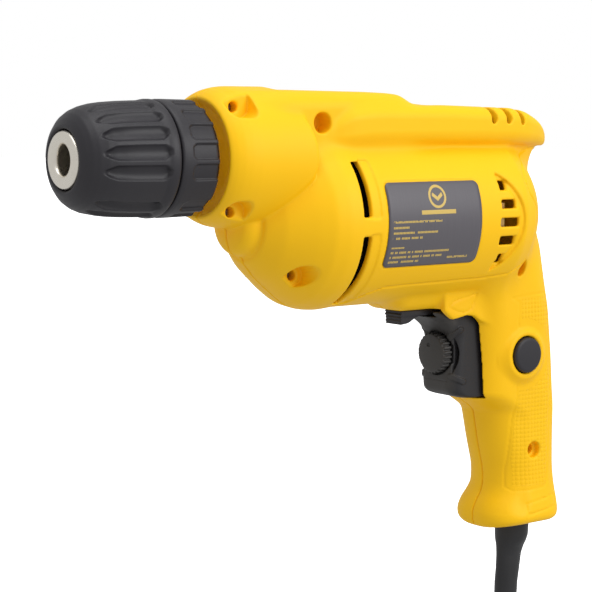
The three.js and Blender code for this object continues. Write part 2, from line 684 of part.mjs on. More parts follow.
part('armature_shaft', armatureShaft(), STEEL, motorLine);
part('rotor_core', slotted(ROTOR_RADIUS, SLOT.width, SLOT.depth), DARK_STEEL, motorLine);
part('armature_windings', windings(), COPPER, motorLine);
part('commutator', commutator(), COPPER, motorLine);
part('cooling_fan', coolingFan(), BLACK, motorLine);
part('armature_front_bearing', bearing(ARMATURE_BEARING_FROM, MOTOR_BEARING), STEEL, motorLine);
part('armature_rear_bearing', bearing(REAR_BEARING_FROM, MOTOR_BEARING), STEEL, motorLine);
part('stator_core', statorCore(), DARK_STEEL, motorLine);
part('field_coil_upper', fieldCoil(), COPPER, motorLine);
part('field_coil_lower', fieldCoil(), COPPER, motorLine).rotation.x = Math.PI;
part('fan_baffle', fanBaffle(), BLACK, motorLine);
for (const [side, turn] of [['right', 0], ['left', Math.PI]]) {
  part(`brush_holder_${side}`, brushHolder(), BRASS, motorLine, [BRUSH_X, 0, 0]).rotation.z = turn;
  part(`brush_${side}`, brush(), CARBON, motorLine, [BRUSH_X, 0, 0]).rotation.z = turn;
  const spring = springGeometry(BRUSH.springRoom - 2 * GAP, 2.2, 0.6, 3);
  spring.rotateZ(Math.PI / 2).translate(0, BRUSH_FACE + BRUSH.length + GAP, 0);
  part(`brush_spring_${side}`, spring, STEEL, motorLine, [BRUSH_X, 0, 0]).rotation.z = turn;
}

// ---- Housing --------------------------------------------------------------------------------------------

// The handle's outline by height: front, rear and half width, in the housing's frame.
const HANDLE_FORK = -102; // below the trigger
const below = (share) => HANDLE_FORK - share * (HANDLE_REACH + HANDLE_FORK);
const HANDLE = [
  [5.8, 121, 167, -2],
  [1, 120, 164, -1.8],
  [-12, 118, 158.6, -0.4],
  [-25, 116, 162.4, 1],
  [-38, 118, 166.2, 2],
  [-52, 122, 168.4, 2.5],
  [-64, 125.5, 171, 2.5],
  [-84, 127.2, 174, 1.5],
  [HANDLE_FORK, 135.4, 176.4, 0.7],
  [below(0.09), 138, 176.8, 0.4],
  [below(0.32), 140.3, 177, 0],
  [below(0.56), 143.2, 177.2, 0],
  [below(0.7), 143.2, 178, 0.3],
  [below(0.84), 138.3, 178.6, 2],
  [below(0.93), 138, 178.6, 2.8],
  [below(1), 139.6, 176, 2],
];

function handle(inset, rows) {
  return loft(rows.map(([z, front, rear, extra]) => {
    const half = HANDLE_HALF_WIDTH + extra - inset;
    const outline = roundedRectangle(front + inset, rear - inset, -half, half, 13 - inset, 2);
    return outline.map(([x, y]) => new THREE.Vector3(x, y, z));
  }));
}

// The upper body by station: top, half width and bottom.
function upper(rows, inset = 0) {
  return loft(rows.map(([x, top, half, bottom, corner = 7]) => {
    const round = corner - inset / 2;
    const outline = roundedRectangle(-half + inset, half - inset, bottom, top - inset, round, 2);
    return outline.map(([y, z]) => new THREE.Vector3(x, y, z));
  }));
}

const SPINE = [
  [8, 25.2, SPINE_HALF_WIDTH - 4, -6, 12],
  [30, 24.9, SPINE_HALF_WIDTH, -6, 9],
  [67, 24.2, SPINE_HALF_WIDTH, -6, 8],
  [81, 23.7, SPINE_HALF_WIDTH, -6, 8],
  [91, 20, SPINE_HALF_WIDTH, -6, 8],
];
const BAND = [
  [48, 12, BAND_HALF_WIDTH - 3.4, 6, 3],
  [50, 15, BAND_HALF_WIDTH - 1.4, 4.6, 4],
  [56, 19, BAND_HALF_WIDTH, 4.6, 8],
  [102, 19.4, BAND_HALF_WIDTH, 4.4, 8],
  [139, 18.4, BAND_HALF_WIDTH, 4, 8],
  [147, 17.2, BAND_HALF_WIDTH - 1.6, 3.8, 8],
  [157, 13.8, BAND_HALF_WIDTH - 5.4, 3.6, 5],
  [163.5, 10.3, BAND_HALF_WIDTH - 10, 3.4, 3],
  [167.5, 7.3, BAND_HALF_WIDTH - 14.2, 3.4, 1.8],
  [169.8, 5, BAND_HALF_WIDTH - 18.6, 3.2, 0.8],
];

const BARREL_END = BULKHEAD.from + BULKHEAD.thickness;

// Everything outside: gear case, motor barrel, upper body, handle and the bracket over the trigger.
function housingOutside() {
  const gearCase = turned([
    [0, 0],
    [0.3, CASE_RADIUS - 4.4],
    [3, CASE_RADIUS - 2.2],
    [8.5, CASE_RADIUS - 0.4],
    [12, CASE_RADIUS],
    [CASE_LENGTH, CASE_RADIUS],
    [CASE_LENGTH, 0],
  ], 26);
  const caseSide = new THREE.Shape();
  caseSide.moveTo(-1, 30);
  caseSide.lineTo(CASE_LENGTH - 11, 30);
  caseSide.bezierCurveTo(CASE_LENGTH - 4, 14, CASE_LENGTH, 8, CASE_LENGTH - 0.2, -2);
  caseSide.bezierCurveTo(CASE_LENGTH - 1, -14, CASE_LENGTH - 14, -18, CASE_LENGTH - 22, -30);
  caseSide.lineTo(-1, -30);
  const barrel = turned([
    [13.5, 0],
    [13.5, 7],
    [15, 10.4],
    [17.5, 12.2],
    [20, 12.8],
    [26.6, 20.9],
    [36, 28.6],
    [41, 32.1],
    [EXHAUST.from, BARREL_RADIUS + 0.6],
    [EXHAUST.from + EXHAUST.width + 2, BARREL_RADIUS],
    [BARREL_END - 9, BARREL_RADIUS],
    [BARREL_END - 1, BARREL_RADIUS - 2.8],
    [BARREL_END + 5.5, BARREL_RADIUS - 7.6],
    [BARREL_END + 10, BARREL_RADIUS - 13.6],
    [BARREL_END + 12.5, BARREL_RADIUS - 22],
    [BARREL_END + 13.4, 0],
  ], 30).translate([0, 0, -MOTOR_DROP]);
  const bracket = sideCut([
    [86, -50],
    [88.5, -57.5],
    [93.4, LEVER.top + 0.4],
    [140, LEVER.top + 0.4],
    [140, -50],
  ], -13, 13);
  return union([
    gearCase.intersect(sideShape(caseSide, -40, 40)),
    barrel,
    upper(SPINE),
    upper(BAND),
    handle(0, HANDLE),
    bracket,
  ]);
}

// The rooms inside: for the gears, the gear plate, the fan, the motor, the switch and the wires.
function housingInside() {
  const atMotor = (manifold) => manifold.translate([0, 0, -MOTOR_DROP]);
  const bearingEnd = FRONT_BEARING.at + FRONT_BEARING.width;
  const roomRadius = BARREL_RADIUS - BARREL_WALL;
  const fanRoom = turned([
    [FAN.from - 3, 0],
    [FAN.from - 3, FAN.radius - 0.2],
    [FAN.from + 3, FAN.radius + 1.4],
    [FAN.from + 9, roomRadius],
    [BULKHEAD.from, roomRadius],
    [BULKHEAD.from, 0],
  ], 24);
  const rearRoom = turned([
    [BARREL_END, 0],
    [BARREL_END, 19],
    [BARREL_END + 3, 18],
    [BARREL_END + 7, 13],
    [BARREL_END + 8, 0],
  ], 16);
  const seatEnd = REAR_BEARING_FROM + MOTOR_BEARING.width + GAP;
  const bearingSeat = rod(REAR_BEARING_FROM - GAP, seatEnd, MOTOR_BEARING.radius + GAP, 16);
  const handleRows = HANDLE.filter(([z]) => z < -50 && z > -HANDLE_REACH + 6);
  handleRows.push([-HANDLE_REACH + 5.5, 140.4, 175.6, 0.4]);
  const upperRows = [
    [49.5, 23.6, 20, 0],
    [82, 22.6, 20, 0],
    [92, 18.8, 21, 0],
    [139, 17.4, 21, 0],
    [149, 15.4, 18, 0],
  ];
  return union([
    rod(-1, FRONT_BEARING.at, FRONT_BEARING.bore + 2.4, 20),
    rod(FRONT_BEARING.at - GAP, bearingEnd + GAP, FRONT_BEARING.radius + GAP, 20),
    rod(bearingEnd, GEAR_ROOM.from + 1, FRONT_BEARING.radius - 3, 20),
    rod(GEAR_ROOM.from, GEAR_ROOM.to + 0.1, GEAR_TIP + 1.4, 20),
    rod(GEAR_ROOM.to, PLATE_END + GAP, PLATE.spindleLobe + GAP, 24),
    atMotor(rod(GEAR_FROM - 3, GEAR_ROOM.to + 0.1, 6.6, 12)),
    atMotor(rod(GEAR_ROOM.to, PLATE_END + GAP, PLATE.motorLobe + GAP, 24)),
    atMotor(rod(PLATE_END, FAN.from, 6.6, 12)),
    atMotor(fanRoom),
    atMotor(bearingSeat),
    atMotor(rod(BULKHEAD.from - 1, BARREL_END + 1, 6, 12)),
    atMotor(rearRoom),
    handle(WALL, handleRows),
    upper(upperRows, WALL),
    box(110, BARREL_END - 3, -10, 10, -56, -50),
    triggerMouth(),
    uprightBar(LEVER.pivot, 0, LEVER.top - 1, LEVER.top + 4.4, LEVER.pinRadius + RUN + 0.1),
  ]);
}

// The mouth in the front of the handle that the trigger slides in.
function triggerMouth() {
  const outline = roundedRectangle(96, SWITCH.from + 2, TRIGGER_BOTTOM - 0.7, LEVER.top + 0.4, 3, 3);
  return sideCut(outline, -TRIGGER_HALF_WIDTH - 0.6, TRIGGER_HALF_WIDTH + 0.6);
}

// Walls that stand in the rooms: screw bosses, brush seats and switch ribs, for both shells.
function housingInner() {
  const bosses = SCREWS.slice(2).map(([x, z]) => crossBar(x, z, -50, 50, SCREW.boss, 8));
  const seatWall = 2;
  const seat = (y0, y1) => box(
    BRUSH_X - HOLDER.halfX - seatWall,
    BRUSH_X + HOLDER.halfX + seatWall,
    y0,
    y1,
    -MOTOR_DROP - HOLDER.halfZ - seatWall,
    -MOTOR_DROP + HOLDER.halfZ + seatWall,
  );
  const slot = (y0, y1) => box(
    BRUSH_X - HOLDER.halfX - GAP,
    BRUSH_X + HOLDER.halfX + GAP,
    y0,
    y1,
    -MOTOR_DROP - HOLDER.halfZ - GAP,
    -MOTOR_DROP + HOLDER.halfZ + GAP,
  );
  const inner = HOLDER.to - 6;
  const outer = BARREL_RADIUS - 1;
  const brushSeat = seat(inner, outer).subtract(slot(inner - 1, HOLDER.to + GAP));
  const ribs = [SWITCH.top - 4, SWITCH.bottom + 3].map((z) => {
    return box(SWITCH.from + 8, SWITCH.from + SWITCH.length - 5, SWITCH.halfWidth + GAP, 15.6, z, z + 2);
  });
  const oneSide = union([brushSeat, ...ribs]);
  return union([...bosses, oneSide, mirrored(oneSide)]);
}

// Slots that let the cooling air out behind the fan and in over the motor, on the +Y side.
function airSlots() {
  const exhaust = [[-1.7, -22], [-29, -55]].map(([top, bottom]) => {
    return box(EXHAUST.from, EXHAUST.from + EXHAUST.width, 14, 50, bottom, top);
  });
  const intakeEnds = [[121.8, 126.4], [121.6, 130], [121, 131.6], [121.4, 130.4], [122.6, 126.6]];
  const intake = intakeEnds.map(([x0, x1], i) => {
    const z = -12 - i * 7.1;
    return box(x0, x1, 25.5, 50, z - 1.7, z + 1.7);
  });
  const topSlots = [125, 133, 141].map((x) => {
    const slot = box(-5.2, 5.2, -7, 7, -1.3, 1.3).rotate([0, 0, 20]);
    return slot.rotate([45, 0, 0]).translate([x, 18.5, 15.4]);
  });
  return union([...exhaust, ...intake, ...topSlots]);
}

const LABEL_AREA = { x0: 64, x1: 110.5, z0: -41.3, z1: -9.5, corner: 2.4 };

function labelRegion(grow, inner, outer) {
  const { x0, x1, z0, z1, corner } = LABEL_AREA;
  const outline = roundedRectangle(x0 - grow, x1 + grow, z0 - grow, z1 + grow, corner + grow, 2);
  const skin = ring(x0 - 5, x1 + 5, inner, outer, 30).translate([0, 0, -MOTOR_DROP]);
  return skin.intersect(sideCut(outline, -60, 0));
}

function screwCuts() {
  return union(SCREWS.map(([x, z, seat]) => union([
    crossBar(x, z, -FAR / 2, seat + 1, SCREW.pilot, 6),
    crossBar(x, z, seat, FAR / 2, SCREW.recess, 8),
    crossBar(x, z, -FAR / 2, SCREW.tip - 1, SCREW.recess, 8),
  ])));
}

const LOCK_BORE = LOCK.radius + RUN + 0.1;

function leftOnly(shell) {
  const boss = crossBar(LOCK.x, LOCK.z, LOCK.face + 1.7, -12, LOCK.ring, 20);
  const hollow = crossBar(LOCK.x, LOCK.z, -HANDLE_HALF_WIDTH, -11, LOCK.ring - 3, 16);
  return shell
    .add(boss)
    .subtract(hollow)
    .subtract(crossBar(LOCK.x, LOCK.z, -30, -10, LOCK_BORE, 16))
    .subtract(labelRegion(GAP, BARREL_RADIUS - 0.6, BARREL_RADIUS + 3));
}

const CLAMP = { x: RELIEF.x, z: -HANDLE_REACH + 17.5, reach: 8, screwRadius: 1.4, thickness: 3 };

function rightOnly(shell) {
  const posts = [-1, 1].map((side) => {
    const x = CLAMP.x + side * CLAMP.reach;
    const post = crossBar(x, CLAMP.z, -CORD_RADIUS - 0.2, 15, 3.2, 8);
    return post.subtract(crossBar(x, CLAMP.z, -20, 8, CLAMP.screwRadius + GAP, 8));
  });
  const rest = box(CLAMP.x - 6, CLAMP.x + 6, CORD_RADIUS + GAP, 15, CLAMP.z - 1.5, CLAMP.z + 1.5);
  return union([shell, ...posts, rest]);
}

function housingHalves() {
  const outside = housingOutside();
  const hollow = outside.subtract(housingInside());
  const reliefHole = uprightBar(RELIEF.x, 0, -HANDLE_REACH - 2, -HANDLE_REACH + 8, RELIEF.neck + GAP, 16);
  const slots = airSlots();
  const cuts = union([screwCuts(), slots, mirrored(slots), reliefHole, triggerMouth()]);
  const whole = hollow.add(housingInner().intersect(outside)).subtract(cuts);
  const parting = 0.15;
  const left = whole.intersect(box(-FAR, FAR, -FAR, -parting, -FAR, FAR));
  const right = whole.intersect(box(-FAR, FAR, parting, FAR, -FAR, FAR));
  return [leftOnly(left), rightOnly(right)];
}

const [leftHousing, rightHousing] = housingHalves();
part('left_housing', leftHousing, YELLOW);
part('right_housing', rightHousing, YELLOW);
part('nameplate', labelRegion(0, BARREL_RADIUS - 0.3, BARREL_RADIUS + 0.3), LABEL);

// A housing screw along Y about its own axis, its head towards +Y.
function housingScrew(length) {
  const shank = crossBar(0, 0, -length, 0.5, SCREW.radius, 6);
  const head = crossBar(0, 0, GAP, GAP + SCREW.headHeight, SCREW.head, 8);
  const socket = crossBar(0, 0, GAP + 1, GAP + SCREW.headHeight + 1, 1.3, 6);
  return head.add(shank).subtract(socket);
}

SCREWS.forEach(([x, z, seat], i) => {
  part(`housing_screw_${i + 1}`, housingScrew(seat - SCREW.tip - 0.5), DARK_STEEL, bodyLine, [x, seat, z]);
});

// ---- Switch, trigger and controls -----------------------------------------------------------------------

const SPRING_ROOM = { rest: 10.6, from: SWITCH.from + PLUNGER.into };

function switchBody() {
  const { from, length, halfWidth, top, bottom } = SWITCH;
  const outer = box(from, from + length, -halfWidth, halfWidth, bottom, top);
  const well = box(
    SWITCH.from - 1,
    SPRING_ROOM.from + SPRING_ROOM.rest + GAP,
    -PLUNGER.halfWidth - GAP,
    PLUNGER.halfWidth + GAP,
    PLUNGER.z - PLUNGER.halfHeight - GAP,
    PLUNGER.z + PLUNGER.halfHeight + GAP,
  );
  return outer.subtract(well);
}

const TRIGGER_REAR = SWITCH.from - TRIGGER_TRAVEL - 0.5;

// The trigger: a finger pad with a shoulder at its top, a pocket for the dial, and the switch's plunger.
function trigger() {
  const outline = new THREE.Shape();
  outline.moveTo(TRIGGER_REAR, TRIGGER_TOP);
  outline.lineTo(107.5, TRIGGER_TOP);
  outline.quadraticCurveTo(113.4, TRIGGER_TOP - 4, 114.6, TRIGGER_TOP - 9);
  outline.lineTo(114.6, TRIGGER_BOTTOM + 9);
  outline.quadraticCurveTo(115, TRIGGER_BOTTOM + 2, 122, TRIGGER_BOTTOM);
  outline.lineTo(TRIGGER_REAR, TRIGGER_BOTTOM);
  const plan = new THREE.Shape([
    [TRIGGER_REAR, TRIGGER_HALF_WIDTH],
    [121.6, TRIGGER_HALF_WIDTH],
    [116.6, TRIGGER_HALF_WIDTH - 2],
    [112, TRIGGER_HALF_WIDTH - 6],
    [107, TRIGGER_HALF_WIDTH - 6.6],
    [107, -TRIGGER_HALF_WIDTH + 6.6],
    [112, -TRIGGER_HALF_WIDTH + 6],
    [116.6, -TRIGGER_HALF_WIDTH + 2],
    [121.6, -TRIGGER_HALF_WIDTH],
    [TRIGGER_REAR, -TRIGGER_HALF_WIDTH],
  ].map(([x, y]) => new THREE.Vector2(x, y)));
  const column = new THREE.ExtrudeGeometry(plan, { depth: 50, bevelEnabled: false });
  const rounded = solid(column.translate(0, 0, TRIGGER_BOTTOM - 5));
  const pad = sideShape(outline, -TRIGGER_HALF_WIDTH, TRIGGER_HALF_WIDTH).intersect(rounded);
  const dialEnd = DIAL.x + DIAL.width;
  const pocket = rod(DIAL.x - 20, dialEnd + 0.6, DIAL.radius + 0.6, 18).translate([0, 0, DIAL.z]);
  const pinHole = rod(DIAL.x, dialEnd + DIAL.pinLength + 2, DIAL.pin + RUN + 0.1, 10).translate([0, 0, DIAL.z]);
  const plunger = box(
    TRIGGER_REAR - 1,
    SWITCH.from + PLUNGER.into - GAP,
    -PLUNGER.halfWidth,
    PLUNGER.halfWidth,
    PLUNGER.z - PLUNGER.halfHeight,
    PLUNGER.z + PLUNGER.halfHeight,
  );
  return pad.add(plunger).subtract(pocket).subtract(pinHole);
}

// The speed dial turns on a stub pin in the trigger's pocket and has a knurled rim.
function speedDial() {
  const disc = turned([
    [0, 0],
    [0, DIAL.radius - 1.2],
    [1, DIAL.radius],
    [DIAL.width, DIAL.radius],
    [DIAL.width, DIAL.pin],
    [DIAL.width + DIAL.pinLength, DIAL.pin],
    [DIAL.width + DIAL.pinLength, 0],
  ], 16);
  const notch = box(-1, DIAL.width - 1, -0.45, 0.45, DIAL.radius - 0.7, DIAL.radius + 2);
  return disc.subtract(around(notch, DIAL.notches));
}

// The lock button stops short of the pulled trigger when it is pressed. Its spring stands on the switch.
const LOCK_INNER = -TRIGGER_HALF_WIDTH - LOCK.travel - 0.4;
const LOCK_SPRING_ROOM = { from: LOCK_INNER - 2.6, to: -SWITCH.halfWidth - GAP };

function lockButton() {
  const cap = solid(new THREE.LatheGeometry([
    new THREE.Vector2(0, LOCK.face),
    new THREE.Vector2(LOCK.radius - 2.2, LOCK.face + 0.2),
    new THREE.Vector2(LOCK.radius, LOCK.face + 1.4),
    new THREE.Vector2(LOCK.radius, LOCK_INNER),
    new THREE.Vector2(0, LOCK_INNER),
  ], 16));
  return cap.subtract(crossBar(0, 0, LOCK_SPRING_ROOM.from - GAP, LOCK_INNER + 1, LOCK.springRadius + 1, 10));
}

// The lever turns on a pin under the bracket. Its front tab is notched for a finger.
function directionLever() {
  const low = LEVER.top - LEVER.thickness;
  const plate = new THREE.Shape([
    new THREE.Vector2(LEVER.tip, -4.5),
    new THREE.Vector2(LEVER.tip, 4.5),
    new THREE.Vector2(LEVER.tip + 9, 6),
    new THREE.Vector2(LEVER.pivot, 5.5),
    new THREE.Vector2(LEVER.rear, 2),
    new THREE.Vector2(LEVER.rear, -2),
    new THREE.Vector2(LEVER.pivot, -5.5),
    new THREE.Vector2(LEVER.tip + 9, -6),
  ]);
  const flat = new THREE.ExtrudeGeometry(plate, { depth: LEVER.thickness, bevelEnabled: false });
  const arm = solid(flat.translate(0, 0, low));
  const tab = box(LEVER.tip, LEVER.tip + 5.5, -6, 6, low - 2.8, LEVER.top);
  const notches = [-4, -2, 0, 2, 4].map((y) => {
    return box(LEVER.tip - 1, LEVER.tip + 0.6, y - 0.4, y + 0.4, low - 4, LEVER.top + 1);
  });
  const pin = uprightBar(LEVER.pivot, 0, LEVER.top - 1, LEVER.top + 4, LEVER.pinRadius);
  return union([arm, tab, pin]).subtract(union(notches));
}

part('switch_body', switchBody(), BLACK);
part('trigger', trigger(), BLACK);
const triggerSpring = springGeometry(SPRING_ROOM.rest - GAP, 2.2, 0.5, 5);
part('trigger_spring', triggerSpring, STEEL, bodyLine, [SPRING_ROOM.from, 0, PLUNGER.z]);
part('speed_dial', speedDial(), BLACK, bodyLine, [DIAL.x, 0, DIAL.z]);
part('lock_button', lockButton(), BLACK, bodyLine, [LOCK.x, 0, LOCK.z]);
const lockSpring = springGeometry(LOCK_SPRING_ROOM.to - LOCK_SPRING_ROOM.from, LOCK.springRadius, 0.5, 4);
lockSpring.rotateZ(Math.PI / 2);
part('lock_spring', lockSpring, STEEL, bodyLine, [LOCK.x, LOCK_SPRING_ROOM.from, LOCK.z]);
part('direction_lever', directionLever(), BLACK);

// ---- Mains lead -----------------------------------------------------------------------------------------

const BASE_Z = -HANDLE_REACH;
const RELIEF_END = BASE_Z - RELIEF.length;
const RELIEF_BORE = 12;

// The strain relief: a flange held inside the base, a neck through it, a collar and a tapering sleeve.
function strainRelief() {
  const at = (z, radius, lean) => {
    return Array.from({ length: 16 }, (_, i) => {
      const angle = (i * 2 * Math.PI) / 16;
      return new THREE.Vector3(RELIEF.x + lean + radius * Math.cos(angle), radius * Math.sin(angle), z);
    });
  };
  const floor = BASE_Z + 5.5;
  const body = loft([
    at(floor + 4, RELIEF.collar + 1, 0),
    at(floor + GAP, RELIEF.collar + 1, 0),
    at(floor + GAP - 0.01, RELIEF.neck, 0),
    at(BASE_Z - GAP + 0.01, RELIEF.neck, 0),
    at(BASE_Z - GAP, RELIEF.collar, 0),
    at(BASE_Z - RELIEF.collarLength, RELIEF.collar - 0.3, RELIEF.lean * 0.1),
    at(BASE_Z - RELIEF.collarLength - 1.5, RELIEF.neck, RELIEF.lean * 0.2),
    at(BASE_Z - RELIEF.length * 0.5, RELIEF.neck - 0.5, RELIEF.lean * 0.7),
    at(RELIEF_END, RELIEF.tip, RELIEF.lean),
  ]);
  const [from, to] = [RELIEF_END - 1, RELIEF_END + RELIEF_BORE];
  return body.subtract(uprightBar(RELIEF.x + RELIEF.lean, 0, from, to, CORD_RADIUS + 0.2, 12));
}

// A round cord along points chosen by hand.
function cord(points, steps) {
  const path = new THREE.CatmullRomCurve3(points.map((point) => new THREE.Vector3(...point)));
  const section = new THREE.Shape();
  section.absarc(0, 0, CORD_RADIUS, 0, 2 * Math.PI, false);
  return new THREE.ExtrudeGeometry(section, { steps, curveSegments: 8, extrudePath: path });
}

const LEAD_ROUTE = [
  [157.8, 0, -178.6],
  [157.8, 0, -188],
  [157.8, 0, -198],
  [157.8, 0, -207],
  [156.3, -1.2, -216.3],
  [152.1, -4, -224.6],
  [148.3, -6.2, -228.9],
  [143.7, -8.3, -232.4],
];
const PLUG_LEAD_ROUTE = [
  [87.4, 20.8, -262],
  [86.8, 21.6, -270],
  [86.2, 23.6, -279],
  [85.8, 24.8, -288],
  [85.8, 25, -296],
  [85.8, 25, -303.5],
];
const RING_CENTRE = [127.8, 0, -282.6];
const RING_SECTION = [RING.radius - RING.thickness / 2, RING.radius + RING.thickness / 2];

function storedCoil() {
  const half = RING.width / 2;
  const profile = roundedRectangle(...RING_SECTION, -half, half, CORD_RADIUS, 1);
  profile.push(profile[0]);
  return solid(new THREE.LatheGeometry(profile.map(([r, y]) => new THREE.Vector2(r, y)), 22));
}

// The tie is a strap round the coil's section.
function cordTie() {
  const [inner, outer] = RING_SECTION;
  const [clear, strap, half] = [1, 1.6, RING.width / 2];
  const hole = roundedShape(inner - clear, outer + clear, -half - GAP, half + GAP, 1);
  const [far, wide] = [clear + strap, half + GAP + strap];
  const shape = roundedShape(inner - far, outer + far, -wide, wide, 3);
  shape.holes.push(hole);
  return solid(new THREE.ExtrudeGeometry(shape, { depth: 14, bevelEnabled: false }).translate(0, 0, -7));
}

function plugBody() {
  const [w, t, l] = [PLUG.halfWidth, PLUG.halfThickness, PLUG.length];
  const at = (z, half, thick) => roundedRectangle(-half, half, -thick, thick, thick * 0.7, 3)
    .map(([x, y]) => new THREE.Vector3(x, y, z));
  const body = loft([
    at(0, 4.6, 4.6),
    at(-10, 5.2, 5.2),
    at(-13, w * 0.6, t * 0.85),
    at(-20, w, t),
    at(-l, w, t),
  ]);
  const bore = uprightBar(0, 0, -8, 1, CORD_RADIUS + 0.2, 10);
  const pinHoles = [-1, 1].map((side) => {
    return uprightBar((side * PLUG.pinSpacing) / 2, 0, -l - 1, -l + PLUG.pinSocket, PLUG.pinRadius + GAP, 12);
  });
  return body.subtract(union([bore, ...pinHoles]));
}

function cordClamp() {
  const half = CLAMP.reach + 3.4;
  const top = -CORD_RADIUS - 0.5;
  const bar = box(-half, half, top - CLAMP.thickness, top, -3, 3);
  const holes = [-1, 1].map((side) => crossBar(side * CLAMP.reach, 0, -20, 0, CLAMP.screwRadius + 0.2, 10));
  return bar.subtract(union(holes));
}

function clampScrew() {
  const top = -CORD_RADIUS - 0.5 - CLAMP.thickness - GAP;
  const shank = crossBar(0, 0, top - 0.5, top + 10, CLAMP.screwRadius, 10);
  return crossBar(0, 0, top - 1.8, top, 2.6, 12).add(shank);
}

part('strain_relief', strainRelief(), RUBBER);
part('inner_lead', uprightBar(RELIEF.x, 0, BASE_Z + 10, CLAMP.z + 6, CORD_RADIUS, 12), RUBBER);
part('cord_clamp', cordClamp(), BLACK, bodyLine, [CLAMP.x, 0, CLAMP.z]);
for (const [i, side] of [-1, 1].entries()) {
  part(`clamp_screw_${i + 1}`, clampScrew(), STEEL, bodyLine, [CLAMP.x + side * CLAMP.reach, 0, CLAMP.z]);
}
part('mains_lead', cord(LEAD_ROUTE, 12), RUBBER);
part('stored_coil', storedCoil(), RUBBER, bodyLine, RING_CENTRE);
part('cord_tie', cordTie(), BLACK, bodyLine, RING_CENTRE);
part('plug_lead', cord(PLUG_LEAD_ROUTE, 4), RUBBER);
part('plug_body', plugBody(), RUBBER, bodyLine, PLUG.place);
for (const [i, side] of [-1, 1].entries()) {
  const place = [PLUG.place[0] + (side * PLUG.pinSpacing) / 2, PLUG.place[1], PLUG.place[2] - PLUG.length];
  const pin = uprightBar(0, 0, -PLUG.pinLength, PLUG.pinSocket - GAP, PLUG.pinRadius, 12);
  part(`plug_pin_${i + 1}`, pin, BRASS, bodyLine, place);
}

// The origin is the middle of the grip.
const GRIP = { x: BODY_X + 159, z: -110 };
tool.position.set(-GRIP.x, 0, -GRIP.z);

export default tool;
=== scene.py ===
"""A corded electric drill with a keyless chuck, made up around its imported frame.

Lengths in the sections are in millimetres, in the frame of the housing: u runs back from the housing's
front face, z is up from the spindle's axis and y = 0 is the plane on which the two shells part.
"""

import math

import bpy
import numpy as np
import openvdb
from mathutils import Matrix, Vector


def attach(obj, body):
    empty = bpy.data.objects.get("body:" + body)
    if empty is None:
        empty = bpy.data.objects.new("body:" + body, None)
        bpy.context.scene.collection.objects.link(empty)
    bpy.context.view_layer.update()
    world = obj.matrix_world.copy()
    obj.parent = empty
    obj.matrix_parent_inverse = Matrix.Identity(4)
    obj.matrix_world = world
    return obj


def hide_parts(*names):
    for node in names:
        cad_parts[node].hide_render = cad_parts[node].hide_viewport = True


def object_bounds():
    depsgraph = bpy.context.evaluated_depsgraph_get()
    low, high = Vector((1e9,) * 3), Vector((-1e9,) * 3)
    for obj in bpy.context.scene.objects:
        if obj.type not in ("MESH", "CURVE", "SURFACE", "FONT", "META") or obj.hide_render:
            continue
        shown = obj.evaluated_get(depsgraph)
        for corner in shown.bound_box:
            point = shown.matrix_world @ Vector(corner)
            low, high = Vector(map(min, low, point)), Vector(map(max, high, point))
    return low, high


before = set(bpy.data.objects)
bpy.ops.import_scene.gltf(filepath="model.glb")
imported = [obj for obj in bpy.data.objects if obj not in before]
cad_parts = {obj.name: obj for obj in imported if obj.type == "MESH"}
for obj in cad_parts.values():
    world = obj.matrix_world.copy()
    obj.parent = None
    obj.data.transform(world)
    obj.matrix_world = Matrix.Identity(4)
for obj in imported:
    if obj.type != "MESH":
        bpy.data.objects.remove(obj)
cad_low, cad_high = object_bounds()
scene = bpy.context.scene
scene.view_settings.view_transform = "Standard"

# ---- Camera ------------------------------------------------------------------------------------------------
# A long lens a little above the motor, ahead of the chuck and to its left.
CAMERA_PLACE = Vector((-0.5136, -0.5316, 0.1246))
CAMERA_AIM = Vector((-0.113, 0.0, 0.057))
CAMERA_LENS = 106.9

camera = bpy.data.objects.new("camera", bpy.data.cameras.new("camera"))
scene.collection.objects.link(camera)
camera.data.lens = CAMERA_LENS
camera.location = CAMERA_PLACE
camera.rotation_euler = (CAMERA_AIM - CAMERA_PLACE).to_track_quat("-Z", "Y").to_euler()
scene.camera = camera

# ---- Studio ------------------------------------------------------------------------------------------------
# A pale floor well under the plug, in a white room, with a broad key light on the left shell's side and a
# softer one from above. Nothing here is part of the drill.
FLOOR_LEVEL = cad_low[2] - 0.03
ROOM_LIGHT = 0.62
LIGHTS = [
    ((0.45, -1.2, 0.65), 0.8, 9.0),
    ((-0.2, -0.25, 1.3), 1.1, 8.0),
]


